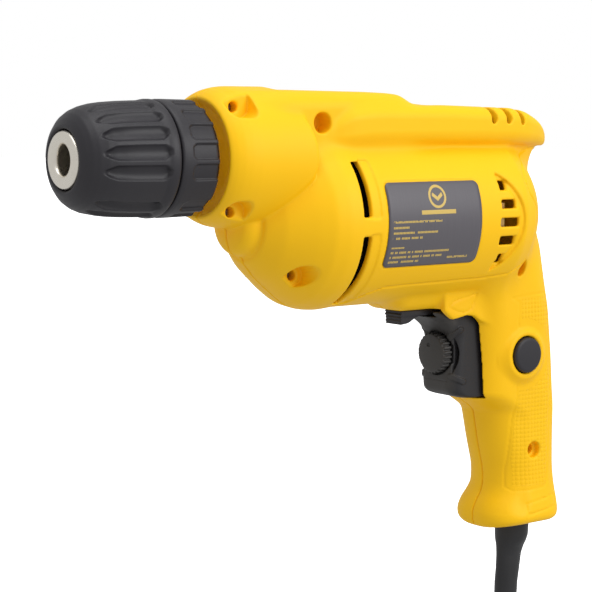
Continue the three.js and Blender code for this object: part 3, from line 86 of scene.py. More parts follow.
def studio():
    bpy.ops.mesh.primitive_grid_add(x_subdivisions=8, y_subdivisions=8, size=30, location=(0, 0, FLOOR_LEVEL))
    floor = bpy.context.object
    floor.name = "floor"
    paint = bpy.data.materials.new("pale_floor")
    paint.use_nodes = True
    shader = paint.node_tree.nodes["Principled BSDF"]
    shader.inputs["Base Color"].default_value = (0.94, 0.94, 0.94, 1)
    shader.inputs["Roughness"].default_value = 0.9
    shader.inputs["Emission Color"].default_value = (1, 1, 1, 1)
    shader.inputs["Emission Strength"].default_value = 1.0
    floor.visible_diffuse = False
    floor.visible_glossy = False
    floor.data.materials.append(paint)
    room = bpy.data.worlds.new("white_room")
    room.use_nodes = True
    sky = room.node_tree.nodes["Background"]
    rays = room.node_tree.nodes.new("ShaderNodeLightPath")
    power = room.node_tree.nodes.new("ShaderNodeMapRange")
    power.inputs["To Min"].default_value = ROOM_LIGHT
    power.inputs["To Max"].default_value = 1.0
    room.node_tree.links.new(rays.outputs["Is Camera Ray"], power.inputs["Value"])
    room.node_tree.links.new(power.outputs["Result"], sky.inputs["Strength"])
    sky.inputs["Color"].default_value = (1, 1, 1, 1)
    scene.world = room
    for at, size, power in LIGHTS:
        lamp = bpy.data.objects.new("softbox", bpy.data.lights.new("softbox", "AREA"))
        scene.collection.objects.link(lamp)
        lamp.data.size = size
        lamp.data.energy = power
        lamp.location = at
        lamp.rotation_euler = (CAMERA_AIM - lamp.location).to_track_quat("-Z", "Y").to_euler()


studio()

# ---- Mains lead --------------------------------------------------------------------------------------------
# A round PVC lead of 7 mm. It hangs from the sleeve under the grip into a coil of six turns in two layers,
# crosses back through the coil and hangs down beside it to the plug.
CORD_DIAMETER = 7.0
CORD_TURN = 7.3  # from one turn of the coil to the next
COIL_CENTRE = (127.8, -282.6)
COIL_RADIUS = 45.6  # of the outer layer
COIL_LAST_TURN = 7.0
POINTS_PER_TURN = 14
GRIP_CENTRE = (159.0, -110.0)  # in u and z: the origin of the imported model
LEAD_DOWN = [
    (157.8, 0, -181),
    (157.8, 0, -188),
    (157.8, 0, -198),
    (157.8, -0.1, -207),
    (156.3, -1.2, -216.3),
    (152.1, -4, -224.6),
    (143.7, -8.3, -232.3),
    (136, -11, -235.4),
]
TAIL_ARC = (124.6, -276.0, 38.2)  # the last bend before the plug: its centre and its radius
TAIL_DOWN = [(85.9, 22.3, -286), (85.8, 23.8, -295), (85.8, 24.8, -303.5)]
COIL_SIDE = [(0, -12.2), (0.22, -13.1), (1, -4.2), (2, 3.1), (3, 10.4), (3.3, 12.6), (3.45, 13.1),
             (5.9, -4.8)]


def place(u, y, z):
    """A point of the housing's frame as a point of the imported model, in metres."""
    return Vector((u - GRIP_CENTRE[0], y, z - GRIP_CENTRE[1])) / 1000


def ease(value, start, end):
    """0 before start, 1 after end and smooth between them."""
    share = np.clip((np.asarray(value, dtype=np.float32) - start) / (end - start), 0, 1)
    return share * share * (3 - 2 * share)


def lead_route():
    points = list(LEAD_DOWN)
    sides = list(zip(*COIL_SIDE))
    for i in range(int(COIL_LAST_TURN * POINTS_PER_TURN) + 1):
        turn = i / POINTS_PER_TURN
        angle = 2 * math.pi * turn
        inward = ease(turn, 3.1, 3.45) + ease(turn, 5.8, 6.28)
        radius = COIL_RADIUS - CORD_TURN * inward + 13.6 * ease(turn, 6.6, 7.12)
        side = np.interp(turn, *sides) + 27.6 * ease(turn, 6.15, 6.72)
        u = COIL_CENTRE[0] - radius * math.sin(angle)
        points.append((u, side, COIL_CENTRE[1] + radius * math.cos(angle)))
    for degrees in (26, 42, 58, 74, 90):
        angle = math.radians(degrees)
        u = TAIL_ARC[0] - TAIL_ARC[2] * math.sin(angle)
        points.append((u, 22.8 - degrees / 80, TAIL_ARC[1] + TAIL_ARC[2] * math.cos(angle)))
    return [place(*point) for point in points + TAIL_DOWN]


def lead_curve():
    route = lead_route()
    data = bpy.data.curves.new("mains_lead_cord", "CURVE")
    data.dimensions = "3D"
    data.resolution_u = 6
    data.bevel_depth = CORD_DIAMETER / 2000
    data.bevel_resolution = 5
    data.use_fill_caps = True
    spline = data.splines.new("BEZIER")
    spline.bezier_points.add(len(route) - 1)
    for i, (knot, point) in enumerate(zip(spline.bezier_points, route)):
        before, after = route[max(i - 1, 0)], route[min(i + 1, len(route) - 1)]
        slope = (after - before) / (6 if 0 < i < len(route) - 1 else 3)
        knot.co = point
        knot.handle_left = point - slope
        knot.handle_right = point + slope
    piece = bpy.data.objects.new("mains_lead_cord", data)
    scene.collection.objects.link(piece)
    return piece


class Value:
    """A socket of a material on which arithmetic adds Math nodes."""

    def __init__(self, finish, socket):
        self.finish = finish
        self.socket = socket

    def math(self, operation, *others, swapped=False):
        terms = [*others, self] if swapped else [self, *others]
        return self.finish.node("ShaderNodeMath", {"operation": operation}, dict(enumerate(terms)))

    def __add__(self, other):
        return self.math("ADD", other)

    def __sub__(self, other):
        return self.math("SUBTRACT", other)

    def __rsub__(self, other):
        return self.math("SUBTRACT", other, swapped=True)

    def __mul__(self, other):
        return self.math("MULTIPLY", other)

    def __truediv__(self, other):
        return self.math("DIVIDE", other)

    def __lt__(self, other):
        return self.math("LESS_THAN", other)

    def __gt__(self, other):
        return self.math("GREATER_THAN", other)

    def __abs__(self):
        return self.math("ABSOLUTE")

    __radd__ = __add__
    __rmul__ = __mul__


class Finish:
    """A material whose uniform values are set when it is made and whose varying ones are fed later."""

    def __init__(self, name, **uniform):
        self.material = bpy.data.materials.new(name)
        self.material.use_nodes = True
        self.tree = self.material.node_tree
        self.shader = next(n for n in self.tree.nodes if n.type == "BSDF_PRINCIPLED")
        for words, value in uniform.items():
            socket = words.replace("_", " ").title().replace("Ior", "IOR")
            self.shader.inputs[socket].default_value = (*value, 1) if isinstance(value, tuple) else value

    def feed(self, socket, value):
        if isinstance(value, Value):
            self.tree.links.new(value.socket, socket)
        elif isinstance(value, tuple) and len(socket.default_value) == 4:
            socket.default_value = (*value, 1)
        else:
            socket.default_value = value

    def node(self, kind, settings, inputs, output=0):
        """A node of a kind, with its settings made first and then its sockets' values or links."""
        made = self.tree.nodes.new(kind)
        for setting, value in settings.items():
            if setting == "stops":
                for stop, (at, colour) in zip(self.stops(made, len(value)), value):
                    stop.position = at
                    stop.color = (*colour, 1)
            else:
                setattr(made, setting, value)
        for socket, value in inputs.items():
            self.feed(made.inputs[socket], value)
        return Value(self, made.outputs[output])

    @staticmethod
    def stops(made, count):
        while len(made.color_ramp.elements) < count:
            made.color_ramp.elements.new(0.5)
        return made.color_ramp.elements

    def place(self):
        """Where a point is on the resting object, as a vector in metres."""
        return self.node("ShaderNodeTexCoord", {}, {}, "Object")

    def axes(self, vector):
        split = self.node("ShaderNodeSeparateXYZ", {}, {0: vector})
        return [Value(self, socket) for socket in split.socket.node.outputs]

    def noise(self, scale, detail=3.0, roughness=0.5, vector=None):
        inputs = {"Vector": vector or self.place(), "Scale": scale, "Detail": detail, "Roughness": roughness}
        return self.node("ShaderNodeTexNoise", {}, inputs)

    def blend(self, share, first, second):
        """A colour between two."""
        return self.node("ShaderNodeMix", {"data_type": "RGBA"}, {0: share, 6: first, 7: second}, 2)

    def between(self, share, low, high):
        """A number between two."""
        return self.node("ShaderNodeMapRange", {}, {"Value": share, "To Min": low, "To Max": high})

    def colour(self, value):
        self.feed(self.shader.inputs["Base Color"], value)

    def roughness(self, value):
        self.feed(self.shader.inputs["Roughness"], value)

    def relief(self, height, depth):
        """Gives the surface a relief whose height is from 0 to 1, over a depth in millimetres."""
        settings = {"Height": height, "Distance": depth / 1000, "Strength": 1.0}
        self.feed(self.shader.inputs["Normal"], self.node("ShaderNodeBump", {}, settings))

    def wear(self, *pieces):
        """Puts the finish on objects, in place of whatever they had."""
        for piece in pieces:
            piece.data.materials.clear()
            piece.data.materials.append(self.material)


def pvc_finish():
    """Soft black PVC: nearly matt, with a faint bloom, fine drawing lines and scuffs that catch the light."""
    finish = Finish("black_pvc", roughness=0.46, specular_ior_level=0.42)
    bloom = finish.noise(70, 4)
    scuffs = finish.noise(900, 2)
    finish.colour(finish.blend(bloom, (0.010, 0.010, 0.011), (0.026, 0.026, 0.029)))
    finish.roughness(finish.between(bloom * 0.7 + scuffs * 0.3, 0.34, 0.6))
    finish.relief(scuffs, 0.03)
    return finish


pvc = pvc_finish()
lead = lead_curve()
pvc.wear(lead)
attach(lead, "housing")
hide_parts("mains_lead", "stored_coil", "plug_lead")

# ---- Strain relief -----------------------------------------------------------------------------------------
# A soft PVC sleeve moulded on the lead: a flange held inside the grip, a collar under the base, and a
# tapering tail that is pinched flat from the sides and kinks forward.
RELIEF_U = 161.0
RELIEF_LEAN = -3.2
RELIEF_TIP_Z = -190.0
VOXEL = 0.5  # of the housing
FINE_VOXEL = 0.28  # of the small mouldings


class Clay:
    """A block of points in which a moulded piece is shaped as a distance field, negative inside it."""

    def __init__(self, low, high, step):
        self.low = np.array(low, dtype=np.float32)
        self.step = step
        counts = [int(math.ceil((b - a) / step)) + 1 for a, b in zip(low, high)]
        self.axes = [self.low[i] + step * np.arange(counts[i], dtype=np.float32) for i in range(3)]
        self.u, self.y, self.z = np.ix_(*self.axes)

    def within(self, low, high):
        """The indices of a smaller block, and the coordinates in it."""
        spans = []
        for axis, start, end in zip(self.axes, low, high):
            spans.append(slice(*np.searchsorted(axis, (start, end))))
        return tuple(spans), self.u[spans[0]], self.y[:, spans[1]], self.z[:, :, spans[2]]

    def shape(self, field, name, mirrored=False):
        """The field's surface as an object."""
        reach = 3 * self.step
        grid = openvdb.FloatGrid(reach)
        grid.copyFromArray(np.ascontiguousarray(np.clip(field, -reach, reach)))
        points, _, quads = grid.convertToPolygons(0.0, 0.0)
        points = (self.low + self.step * points) * (1, -1 if mirrored else 1, 1)
        points = (points - (GRIP_CENTRE[0], 0, GRIP_CENTRE[1])) / 1000
        quads = quads if mirrored else quads[:, ::-1]
        data = bpy.data.meshes.new(name)
        data.vertices.add(len(points))
        data.vertices.foreach_set("co", points.astype(np.float32).ravel())
        data.loops.add(quads.size)
        data.loops.foreach_set("vertex_index", quads.astype(np.int32).ravel())
        data.polygons.add(len(quads))
        data.polygons.foreach_set("loop_start", np.arange(0, quads.size, 4, dtype=np.int32))
        data.update(calc_edges=True)
        data.validate()
        data.shade_smooth()
        piece = bpy.data.objects.new(name, data)
        scene.collection.objects.link(piece)
        return piece


def melt(first, second, soft):
    """Two fields as one body, with a fillet between them."""
    share = np.clip(0.5 + 0.5 * (second - first) / soft, 0, 1)
    return second + (first - second) * share - soft * share * (1 - share)


def carve(body, tool, soft):
    """A body less a tool, with rounded edges."""
    return -melt(-body, tool, soft)


def common(first, second, soft):
    """What two fields share, with rounded edges."""
    return -melt(-first, -second, soft)


def brick(offsets, halves, corner):
    """The distance to a rounded box, from the offsets to its centre along each axis."""
    inner = [np.abs(offset) - half + corner for offset, half in zip(offsets, halves)]
    outside = np.sqrt(sum(np.maximum(gap, 0) ** 2 for gap in inner))
    deepest = inner[0]
    for gap in inner[1:]:
        deepest = np.maximum(deepest, gap)
    return outside + np.minimum(deepest, 0) - corner


def along(stations, values, points, soft):
    """Values between stations, with the corners rounded over a length."""
    steps = np.linspace(-soft, soft, 9)
    return np.mean([np.interp(points + step, stations, values) for step in steps], axis=0).astype(np.float32)


def strain_relief():
    clay = Clay((150, -10, -192), (172, 10, -145), FINE_VOXEL)
    heights = [-190, -187, -182, -176, -170, -166.6, -163.8, -161.6, -155.9, -155.7, -150, -149.8, -145.9]
    wide = [4.9, 5.0, 5.2, 5.6, 6.1, 6.5, 6.9, 7.1, 7.2, 6.0, 6.0, 8, 8]
    thick = [4.7, 4.6, 4.5, 4.3, 4.2, 5.0, 6.4, 7.0, 7.2, 6.0, 6.0, 8, 8]
    lean = [-3.2, -3.2, -3.0, -2.2, -1.6, -1.0, -0.5, -0.2, 0, 0, 0, 0, 0]
    z = clay.axes[2]
    across, deep, shift = (along(heights, row, z, 0.5) for row in (wide, thick, lean))
    offset_u = (clay.u - RELIEF_U - shift) / across
    offset_y = clay.y / deep
    field = (np.sqrt(offset_u ** 2 + offset_y ** 2) - 1) * np.minimum(across, deep)
    field = np.maximum(field, np.maximum(RELIEF_TIP_Z - clay.z, clay.z + 148.4))
    bore = np.hypot(clay.u - RELIEF_U - RELIEF_LEAN, clay.y) - CORD_DIAMETER / 2 - 0.15
    return clay.shape(carve(field, np.maximum(bore, clay.z + 178), 0.4), "cord_sleeve")


relief = strain_relief()
pvc.wear(relief)
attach(relief, "housing")
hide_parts("strain_relief")

# ---- Plug and tie ------------------------------------------------------------------------------------------
# A flat two-pin plug moulded on the lead's end, with finger ridges, a ribbed sleeve and brass pins whose
# upper halves are insulated, and the woven hook-and-loop strap that holds the coil.
PLUG_U, PLUG_Y, PLUG_Z = 85.8, 25.0, -297.0
PLUG_LENGTH = 36.0


def plug():
    clay = Clay((71, 16, -334.5), (101, 34, -296), FINE_VOXEL)
    depth = PLUG_Z - clay.axes[2]
    stations = [0, 9, 12, 18, 30, 36]
    half_u = along(stations, [4.7, 5.6, 7.6, 12.6, 13, 12.4], depth, 1.6)
    half_y = along(stations, [4.7, 5.4, 6.2, 7.3, 7.5, 7.2], depth, 1.6)
    halves = (half_u, half_y)
    corner = np.minimum(half_u, half_y) * 0.86
    field = brick((clay.u - PLUG_U, clay.y - PLUG_Y), halves, corner)
    ends = np.abs(clay.z - PLUG_Z + PLUG_LENGTH / 2) - PLUG_LENGTH / 2
    field = common(field, ends, 1.2)
    for ring in range(4):
        groove = np.abs(clay.z - PLUG_Z + 1.9 + 2.1 * ring) - 0.45
        field = carve(field, np.maximum(groove, -(field + 0.8)), 0.2)
    for ridge in range(5):
        groove = np.hypot(np.abs(clay.y - PLUG_Y) - 8.0, clay.z - PLUG_Z + 19.5 + 2.6 * ridge) - 1.0
        field = carve(field, np.maximum(groove, np.abs(clay.u - PLUG_U) - 7.5), 0.4)
    bore = np.hypot(clay.u - PLUG_U, clay.y - PLUG_Y) - CORD_DIAMETER / 2 - 0.15
    field = carve(field, np.maximum(bore, PLUG_Z - 8 - clay.z), 0.3)
    for side in (-9.5, 9.5):
        socket = np.hypot(clay.u - PLUG_U - side, clay.y - PLUG_Y) - 2.6
        field = carve(field, np.maximum(socket, clay.z - PLUG_Z + PLUG_LENGTH - 6), 0.2)
    return clay.shape(field, "mains_plug")


def woven_finish():
    """Black woven strap: a fine over-and-under weave with a fuzzy face."""
    finish = Finish("woven_strap", roughness=0.9, sheen_weight=0.4, sheen_roughness=0.6)
    u, y, z = finish.axes(finish.place())
    weft = finish.node("ShaderNodeMath", {"operation": "SINE"}, {0: (u + y) * 5200})
    warp = finish.node("ShaderNodeMath", {"operation": "SINE"}, {0: z * 5200})
    weave = finish.between(weft * warp, 0, 1)
    fuzz = finish.noise(2600, 2)
    finish.colour(finish.blend(weave * 0.6 + fuzz * 0.4, (0.008, 0.008, 0.009), (0.05, 0.05, 0.055)))
    finish.relief(weave * 0.7 + fuzz * 0.3, 0.25)
    return finish


def brass_finish():
    """Turned brass with fine lathe lines along z and a few dull patches."""
    finish = Finish("turned_brass", metallic=1.0)
    u, y, z = finish.axes(finish.place())
    stretched = finish.node("ShaderNodeCombineXYZ", {}, {0: u * 60, 1: y * 60, 2: z * 4000})
    lines = finish.noise(1, 2, 0.6, stretched)
    dull_and_sheen = finish.noise(240, 3)
    finish.colour(finish.blend(dull_and_sheen, (0.72, 0.50, 0.20), (0.55, 0.36, 0.13)))
    finish.roughness(finish.between(lines * 0.5 + dull_and_sheen * 0.5, 0.18, 0.46))
    finish.relief(lines, 0.015)
    return finish


plug_piece = plug()
pvc.wear(plug_piece)
brass = brass_finish()
brass.wear(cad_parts["plug_pin_1"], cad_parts["plug_pin_2"])
brass.wear(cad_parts["brush_holder_left"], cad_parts["brush_holder_right"])
woven = woven_finish()
woven.wear(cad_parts["cord_tie"])
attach(plug_piece, "housing")
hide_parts("plug_body")
place(RELIEF_U + RELIEF_LEAN, 0, RELIEF_TIP_Z)

# ---- Housing shells ----------------------------------------------------------------------------------------
# Two shells of glass-filled nylon, moulded in signal yellow with a fine spark-eroded grain. They meet on the
# middle plane and carry the bearings, the motor and the switch between them; six screws draw them together.
MOTOR_Z = -24.4
WALL = 2.8
PARTING = 0.12  # from each shell's edge to the middle plane
CASE_PROFILE = [
    (4.8, 8.6), (4.8, 14.8), (3.9, 18.0), (2.0, 20.2), (0.8, 21.2), (0.6, 21.8), (1.3, 22.6),
    (3.0, 23.8), (5.5, 24.9), (8.5, 25.6), (12, 26), (44, 26),
]
BARREL_PROFILE = [
    (21, 14.6), (26.6, 20.9), (36, 28.6), (41, 32.1), (46.6, 33.8), (51.6, 34.2), (58.5, 33.6),
    (135, 33.6), (142.6, 30.8), (148.8, 25.8), (152.8, 19.6), (155, 11.4), (156, 4),
]
LOWER_BOSS_PROFILE = [(13.6, 2), (13.8, 6), (15, 10), (17, 11.8), (20, 12.6), (24, 12.8), (27, 12.8)]
MOTOR_ROOM = [(40.5, 28.4), (46.5, 30), (52.5, 30.6), (136.5, 30.6)]
REAR_ROOM = [(145.5, 19), (148.5, 18), (152.5, 13), (153.5, 2)]
SPINE = {
    "u": [-4, 8, 30, 67, 78, 84, 91, 96],
    "top": [24.4, 24.7, 24.7, 24.2, 23.8, 23.2, 19.8, 18.6],
    "half": [17, 17, 20.4, 21, 21, 20.4, 18, 17],
    "corner": [12, 12, 8, 6.4, 6.2, 6.2, 7, 8],
}
BAND = {
    "u": [47, 50, 56, 66, 102, 139, 147, 155, 160, 165, 168, 169.8],
    "top": [10.5, 13.4, 17.2, 18.9, 19.4, 18.4, 17.2, 14.6, 12.4, 9.4, 7.0, 5],
    "half": [19.4, 21.6, 23.4, 24, 24, 24, 22.4, 19.4, 16.6, 12.6, 9.2, 5.4],
    "bottom": [6.4, 5.2, 4.6, 4.5, 4.4, 4.0, 3.8, 3.6, 3.4, 3.2, 3.0, 3.0],
    "corner": [1.6, 3, 4, 5, 5.4, 5.6, 5.2, 4.6, 3.6, 2.6, 1.7, 0.9],
}
HANDLE = {
    "z": [-156, -152, -146.8, -139.5, -131.7, -118.8, -106.5, -103.6, -100, -84, -64, -52, -38, -25, -12, 1,
          5, 8],
    "front": [139.6, 137.8, 138.3, 143.6, 143.6, 140.3, 138, 137.2, 127.8, 127.2, 125.5, 122, 118, 116, 118,
              120, 121, 122],
    "rear": [177.6, 178.4, 178.4, 178, 177.2, 177, 176.8, 176.4, 175.6, 174, 170.9, 168.3, 166.1, 162.4,
             158.4, 163.6, 167, 169],
    "half": [18.2, 18.7, 18, 16.3, 16, 16, 16.4, 16.7, 17, 17.5, 18.5, 18.5, 18, 17, 15.6, 14.2, 13.8, 13.6],
}
SCREWS = [(8, 18.3), (6.6, -19.3), (42.9, 12.6), (34.3, -43.6), (145, -46), (157.9, -122.7)]
GROOVE = [
    (176, 3.2), (164, 3.0), (154.5, 2.4), (147, 0), (140.5, -4), (137.2, -9.5), (138.6, -15), (143.5, -21),
    (146.6, -29), (146, -36.5), (141, -43.5), (133, -47.4), (120, -48.4), (90, -48.9), (71.2, -49.3),
    (65, -51.5), (57, -56.5),
]
LABEL = {"u": (64, 110.5), "z": (-41.3, -9.5), "corner": 2.4}
LOCK_AT = (149.7, -82.0)


def outline_distance(points, u, v):
    """The distance to a closed outline in a plane, negative inside it."""
    best = np.full(np.broadcast(u, v).shape, 1e9, dtype=np.float32)
    inside = np.zeros(best.shape, dtype=bool)
    for (u0, v0), (u1, v1) in zip(points, points[1:] + points[:1]):
        du, dv = u1 - u0, v1 - v0
        share = np.clip(((u - u0) * du + (v - v0) * dv) / max(du * du + dv * dv, 1e-9), 0, 1)
        best = np.minimum(best, np.hypot(u - u0 - share * du, v - v0 - share * dv))
        if v0 != v1:
            inside ^= ((v0 > v) != (v1 > v)) & (u < u0 + (v - v0) * du / dv)
    return np.where(inside, -best, best)


def line_distance(points, u, v):
    """The distance to an open line in a plane."""
    best = 1e9
    for (u0, v0), (u1, v1) in zip(points, points[1:]):
        du, dv = u1 - u0, v1 - v0
        share = np.clip(((u - u0) * du + (v - v0) * dv) / (du * du + dv * dv), 0, 1)
        best = np.minimum(best, np.hypot(u - u0 - share * du, v - v0 - share * dv))
    return best


def soften(table, reach):
    """A table averaged over a few places each way, twice, which rounds its corners."""
    window = 2 * reach + 1
    for axis in (0, 1, 0, 1):
        ends = [np.repeat(np.take(table, [end], axis), reach + first, axis)
                for end, first in ((0, 1), (-1, 0))]
        sums = np.cumsum(np.concatenate([ends[0], table, ends[1]], axis), axis, dtype=np.float64)
        count = table.shape[axis]
        later, earlier = (np.take(sums, range(at, at + count), axis) for at in (window, 0))
        table = ((later - earlier) / window).astype(np.float32)
    return table


def lathe(clay, profile, axis_z, soft=0.0):
    """A body of revolution about a line along u, from (u, radius) points that are closed along the axis."""
    outline = [(profile[0][0], -30), *profile, (profile[-1][0], -30)]
    radii = np.arange(0, 62, 0.25, dtype=np.float32)
    table = outline_distance(outline, clay.axes[0][:, None], radii[None, :])
    if soft:
        table = soften(table, max(1, round(soft / clay.step / 2)))
    radius = np.hypot(clay.y[0], clay.z[0] - axis_z) / 0.25
    index = np.minimum(radius.astype(int), len(radii) - 2)
    share = (radius - index).astype(np.float32)
    return table[:, index] * (1 - share) + table[:, index + 1] * share


def rod(clay, start, end, radius, axis_z):
    round_side = np.hypot(clay.y, clay.z - axis_z) - radius
    return np.maximum(round_side, np.maximum(start - clay.u, clay.u - end))


def sections(clay, rows, soft, inset=0.0):
    """A long body from its stations along u: top, half width, bottom and corner."""
    u = clay.axes[0]
    names = ("top", "half", "bottom", "corner")
    top, half, bottom, corner = (
        along(rows["u"], rows[name], u, soft)[:, None, None] if name in rows else np.float32(-6)
        for name in names
    )
    middle, tall = (top + bottom) / 2, (top - bottom) / 2
    return brick((clay.y, clay.z - middle), (half - inset, tall - inset), np.maximum(corner - inset / 2, 0.8))


def grip(clay, inset=0.0):
    z = clay.axes[2]
    front, rear, half = (along(HANDLE["z"], HANDLE[name], z, 3.0) for name in ("front", "rear", "half"))
    middle, deep = (front + rear) / 2, (rear - front) / 2
    return brick((clay.u - middle, clay.y), (deep - inset, half - inset),
                 np.minimum(half, 15.4) - inset - 0.4)


def housing_outside(clay):
    u, y, z = clay.u, clay.y, clay.z
    case_edge = [(-6, 34), (27.5, 34), (31.4, 22), (36, 11), (37.6, 4), (37.8, -2), (36.6, -7.5), (32, -12.6),
                 (25, -18.6), (20.4, -24), (14, -27), (14, -34), (-6, -34)]
    side = soften(outline_distance(case_edge, clay.axes[0][:, None], clay.axes[2][None, :]), 2)[:, None, :]
    case = common(lathe(clay, CASE_PROFILE, 0, 0.8), side, 1.6)
    barrel = lathe(clay, BARREL_PROFILE, MOTOR_Z, 2.0)
    boss = lathe(clay, LOWER_BOSS_PROFILE, MOTOR_Z, 1.6)
    spine = common(sections(clay, SPINE, 2.5), np.maximum(8 - u, u - 97), 3)
    spine = np.maximum(spine, -6 - z)
    band = common(sections(clay, BAND, 2.2), np.maximum(47 - u, u - 169.8), 1.0)
    base = -155.5 - z + 0.0078 * y * y
    handle = common(grip(clay), np.maximum(base, z - 5.8), 2.6)
    chamfer = (-155.5 - z) * 0.87 + (u - 168.4) * 0.5
    handle = common(handle, chamfer, 2.5)
    bracket = brick((u - 114, y, z + 52), (27.5, 12.8, 9.2), 6)
    lip = along([108, 110, 113.4, 117, 121, 125, 128, 140], [-61, -63, -65.5, -65, -64.2, -64.8, -67, -69],
                clay.axes[0], 0.8)[:, None, None]
    cheek = common(np.maximum(lip - z, 108.6 - u), np.maximum(np.abs(y) - 14.8, np.maximum(z + 46, u - 140)),
                   1.2)
    field = melt(barrel, handle, 7)
    field = melt(field, spine, 4.5)
    field = melt(field, band, 3.2)
    field = melt(field, bracket, 4)
    field = melt(field, cheek, 2)
    field = melt(field, boss, 1.0)
    return melt(field, case, 1.1)


def housing_inside(clay, outside):
    u, y, z = clay.u, clay.y, clay.z
    rooms = rod(clay, -3, 6, 8.4, 0)
    rods = [
        (5.7, 14.3, 14.3, 0), (14, 17, 11, 0), (16, 30.1, 23, 0), (30, 37.6, 22.9, 0),
        (16.5, 30.1, 6.6, MOTOR_Z), (30, 37.6, 13.9, MOTOR_Z), (37.3, 43.5, 6.6, MOTOR_Z),
        (137.4, 144, 9.8, MOTOR_Z), (136, 147, 6, MOTOR_Z),
    ]
    for start, end, radius, axis_z in rods:
        rooms = np.minimum(rooms, rod(clay, start, end, radius, axis_z))
    rooms = np.minimum(rooms, lathe(clay, MOTOR_ROOM, MOTOR_Z))
    rooms = np.minimum(rooms, lathe(clay, REAR_ROOM, MOTOR_Z))
    rooms = np.minimum(rooms, np.maximum(grip(clay, WALL), np.maximum(-150 - z, z + 50)))
    upper = np.maximum(sections(clay, SPINE, 2.5, WALL), -z)
    rooms = np.minimum(rooms, np.maximum(upper, np.maximum(50 - u, u - 90)))
    upper = np.maximum(sections(clay, {**BAND, "bottom": [0] * 12}, 2.2, WALL), outside + WALL)
    rooms = np.minimum(rooms, np.maximum(upper, np.maximum(86 - u, u - 148)))
    rooms = np.minimum(rooms, brick((u - 126, y, z + 53), (16, 10, 4), 0.5))
    return np.minimum(rooms, np.maximum(np.hypot(u - RELIEF_U, y) - 6.3, z + 145))


def trigger_mouth(clay):
    """The opening in the front of the grip, with the nose over the trigger's upper rear corner."""
    edge = [(90, -61.2), (138, -61.2), (143, -63), (145.4, -68), (145.4, -99.3), (118, -99.3), (90, -102)]
    side = soften(outline_distance(edge, clay.axes[0][:, None], clay.axes[2][None, :]), 1)[:, None, :]
    return np.maximum(side, np.abs(clay.y) - 12.2)


def groove(field, spans, distance, half_width, depth):
    """Cuts a channel that follows a line on the surface."""
    block = field[spans]
    field[spans] = carve(block, np.maximum(distance - half_width, -(block + depth)), 0.25)


def shell_field(clay):
    """The outside and the walls that both shells share, with y counted outwards."""
    outside = housing_outside(clay)
    spans, cu, _, cz = clay.within((40, 8, -62), (180, 40, 8))
    groove(outside, spans, line_distance(GROOVE, cu, cz), 0.35, 0.5)
    for low, high in ((-22, -1.7), (-55, -29)):
        spans, cu, cy, cz = clay.within((44, 12, low - 4), (64, 40, high + 4))
        bevel = brick((cu - 57.2, cz - (low + high) / 2), (3.4, (high - low) / 2 + 0.6), 1.0)
        radius = np.hypot(cy, cz - MOTOR_Z)
        step = np.maximum(bevel, 33.1 - radius)
        outside[spans] = carve(outside[spans], np.maximum(step, 56 - cu), 0.5)
    body = np.maximum(outside, -housing_inside(clay, outside))
    for cu0, cz0 in SCREWS[2:]:
        spans, cu, _, cz = clay.within((cu0 - 7, 0, cz0 - 7), (cu0 + 7, 40, cz0 + 7))
        boss = np.maximum(np.hypot(cu - cu0, cz - cz0) - 4.6, outside[spans])
        body[spans] = np.minimum(body[spans], boss)
    return body


def cut(clay, body, low, high, tool, soft=0.4):
    """Cuts a tool out of a part of the body. The tool is given that part's coordinates."""
    spans, cu, cy, cz = clay.within(low, high)
    body[spans] = carve(body[spans], tool(cu, cy, cz), soft)


def add(clay, body, low, high, tool, soft=0.4):
    spans, cu, cy, cz = clay.within(low, high)
    body[spans] = melt(body[spans], tool(cu, cy, cz), soft)


def air_slots(clay, body):
    for start, end, low, high in [(52, 56.5, -22, -1.7), (52, 56.5, -55, -29)]:
        cut(clay, body, (46, 10, low - 4), (62, 40, high + 4), lambda u, y, z: np.maximum(
            brick((u - (start + end) / 2, z - (low + high) / 2), ((end - start) / 2, (high - low) / 2), 0.5),
            12 - y))
    ends = [(121.8, 126.4), (121.6, 130), (121, 131.6), (121.4, 130.4), (122.6, 126.6)]
    for i, (start, end) in enumerate(ends):
        level = -12 - 7.1 * i
        cut(clay, body, (118, 12, level - 5), (140, 40, level + 5), lambda u, y, z: np.maximum(
            brick((u - (start + end) / 2, z - level), ((end - start) / 2, 1.75), 0.7), 22 - y), 0.5)
    spans, cu, cy, cz = clay.within((116, 14, -48), (138, 40, -6))
    edge = np.maximum(np.abs(np.hypot(cu - 113.6, cz + 26.2) - 19.4) - 1.2, 122 - cu)
    body[spans] = carve(body[spans], np.maximum(edge, 32.3 - np.hypot(cy, cz - MOTOR_Z)), 1.4)
    for middle in (125, 133, 141):
        def slot(u, y, z):
            across = (u - middle) * 0.94 - (y - 18.5) * 0.24
            lengthwise = (y - 18.5) * 0.66 - (z - 15) * 0.66 + (u - middle) * 0.22
            return brick((across, lengthwise), (1.45, 5.4), 1.3)
        cut(clay, body, (middle - 9, 6, 6), (middle + 9, 28, 24), slot, 0.5)


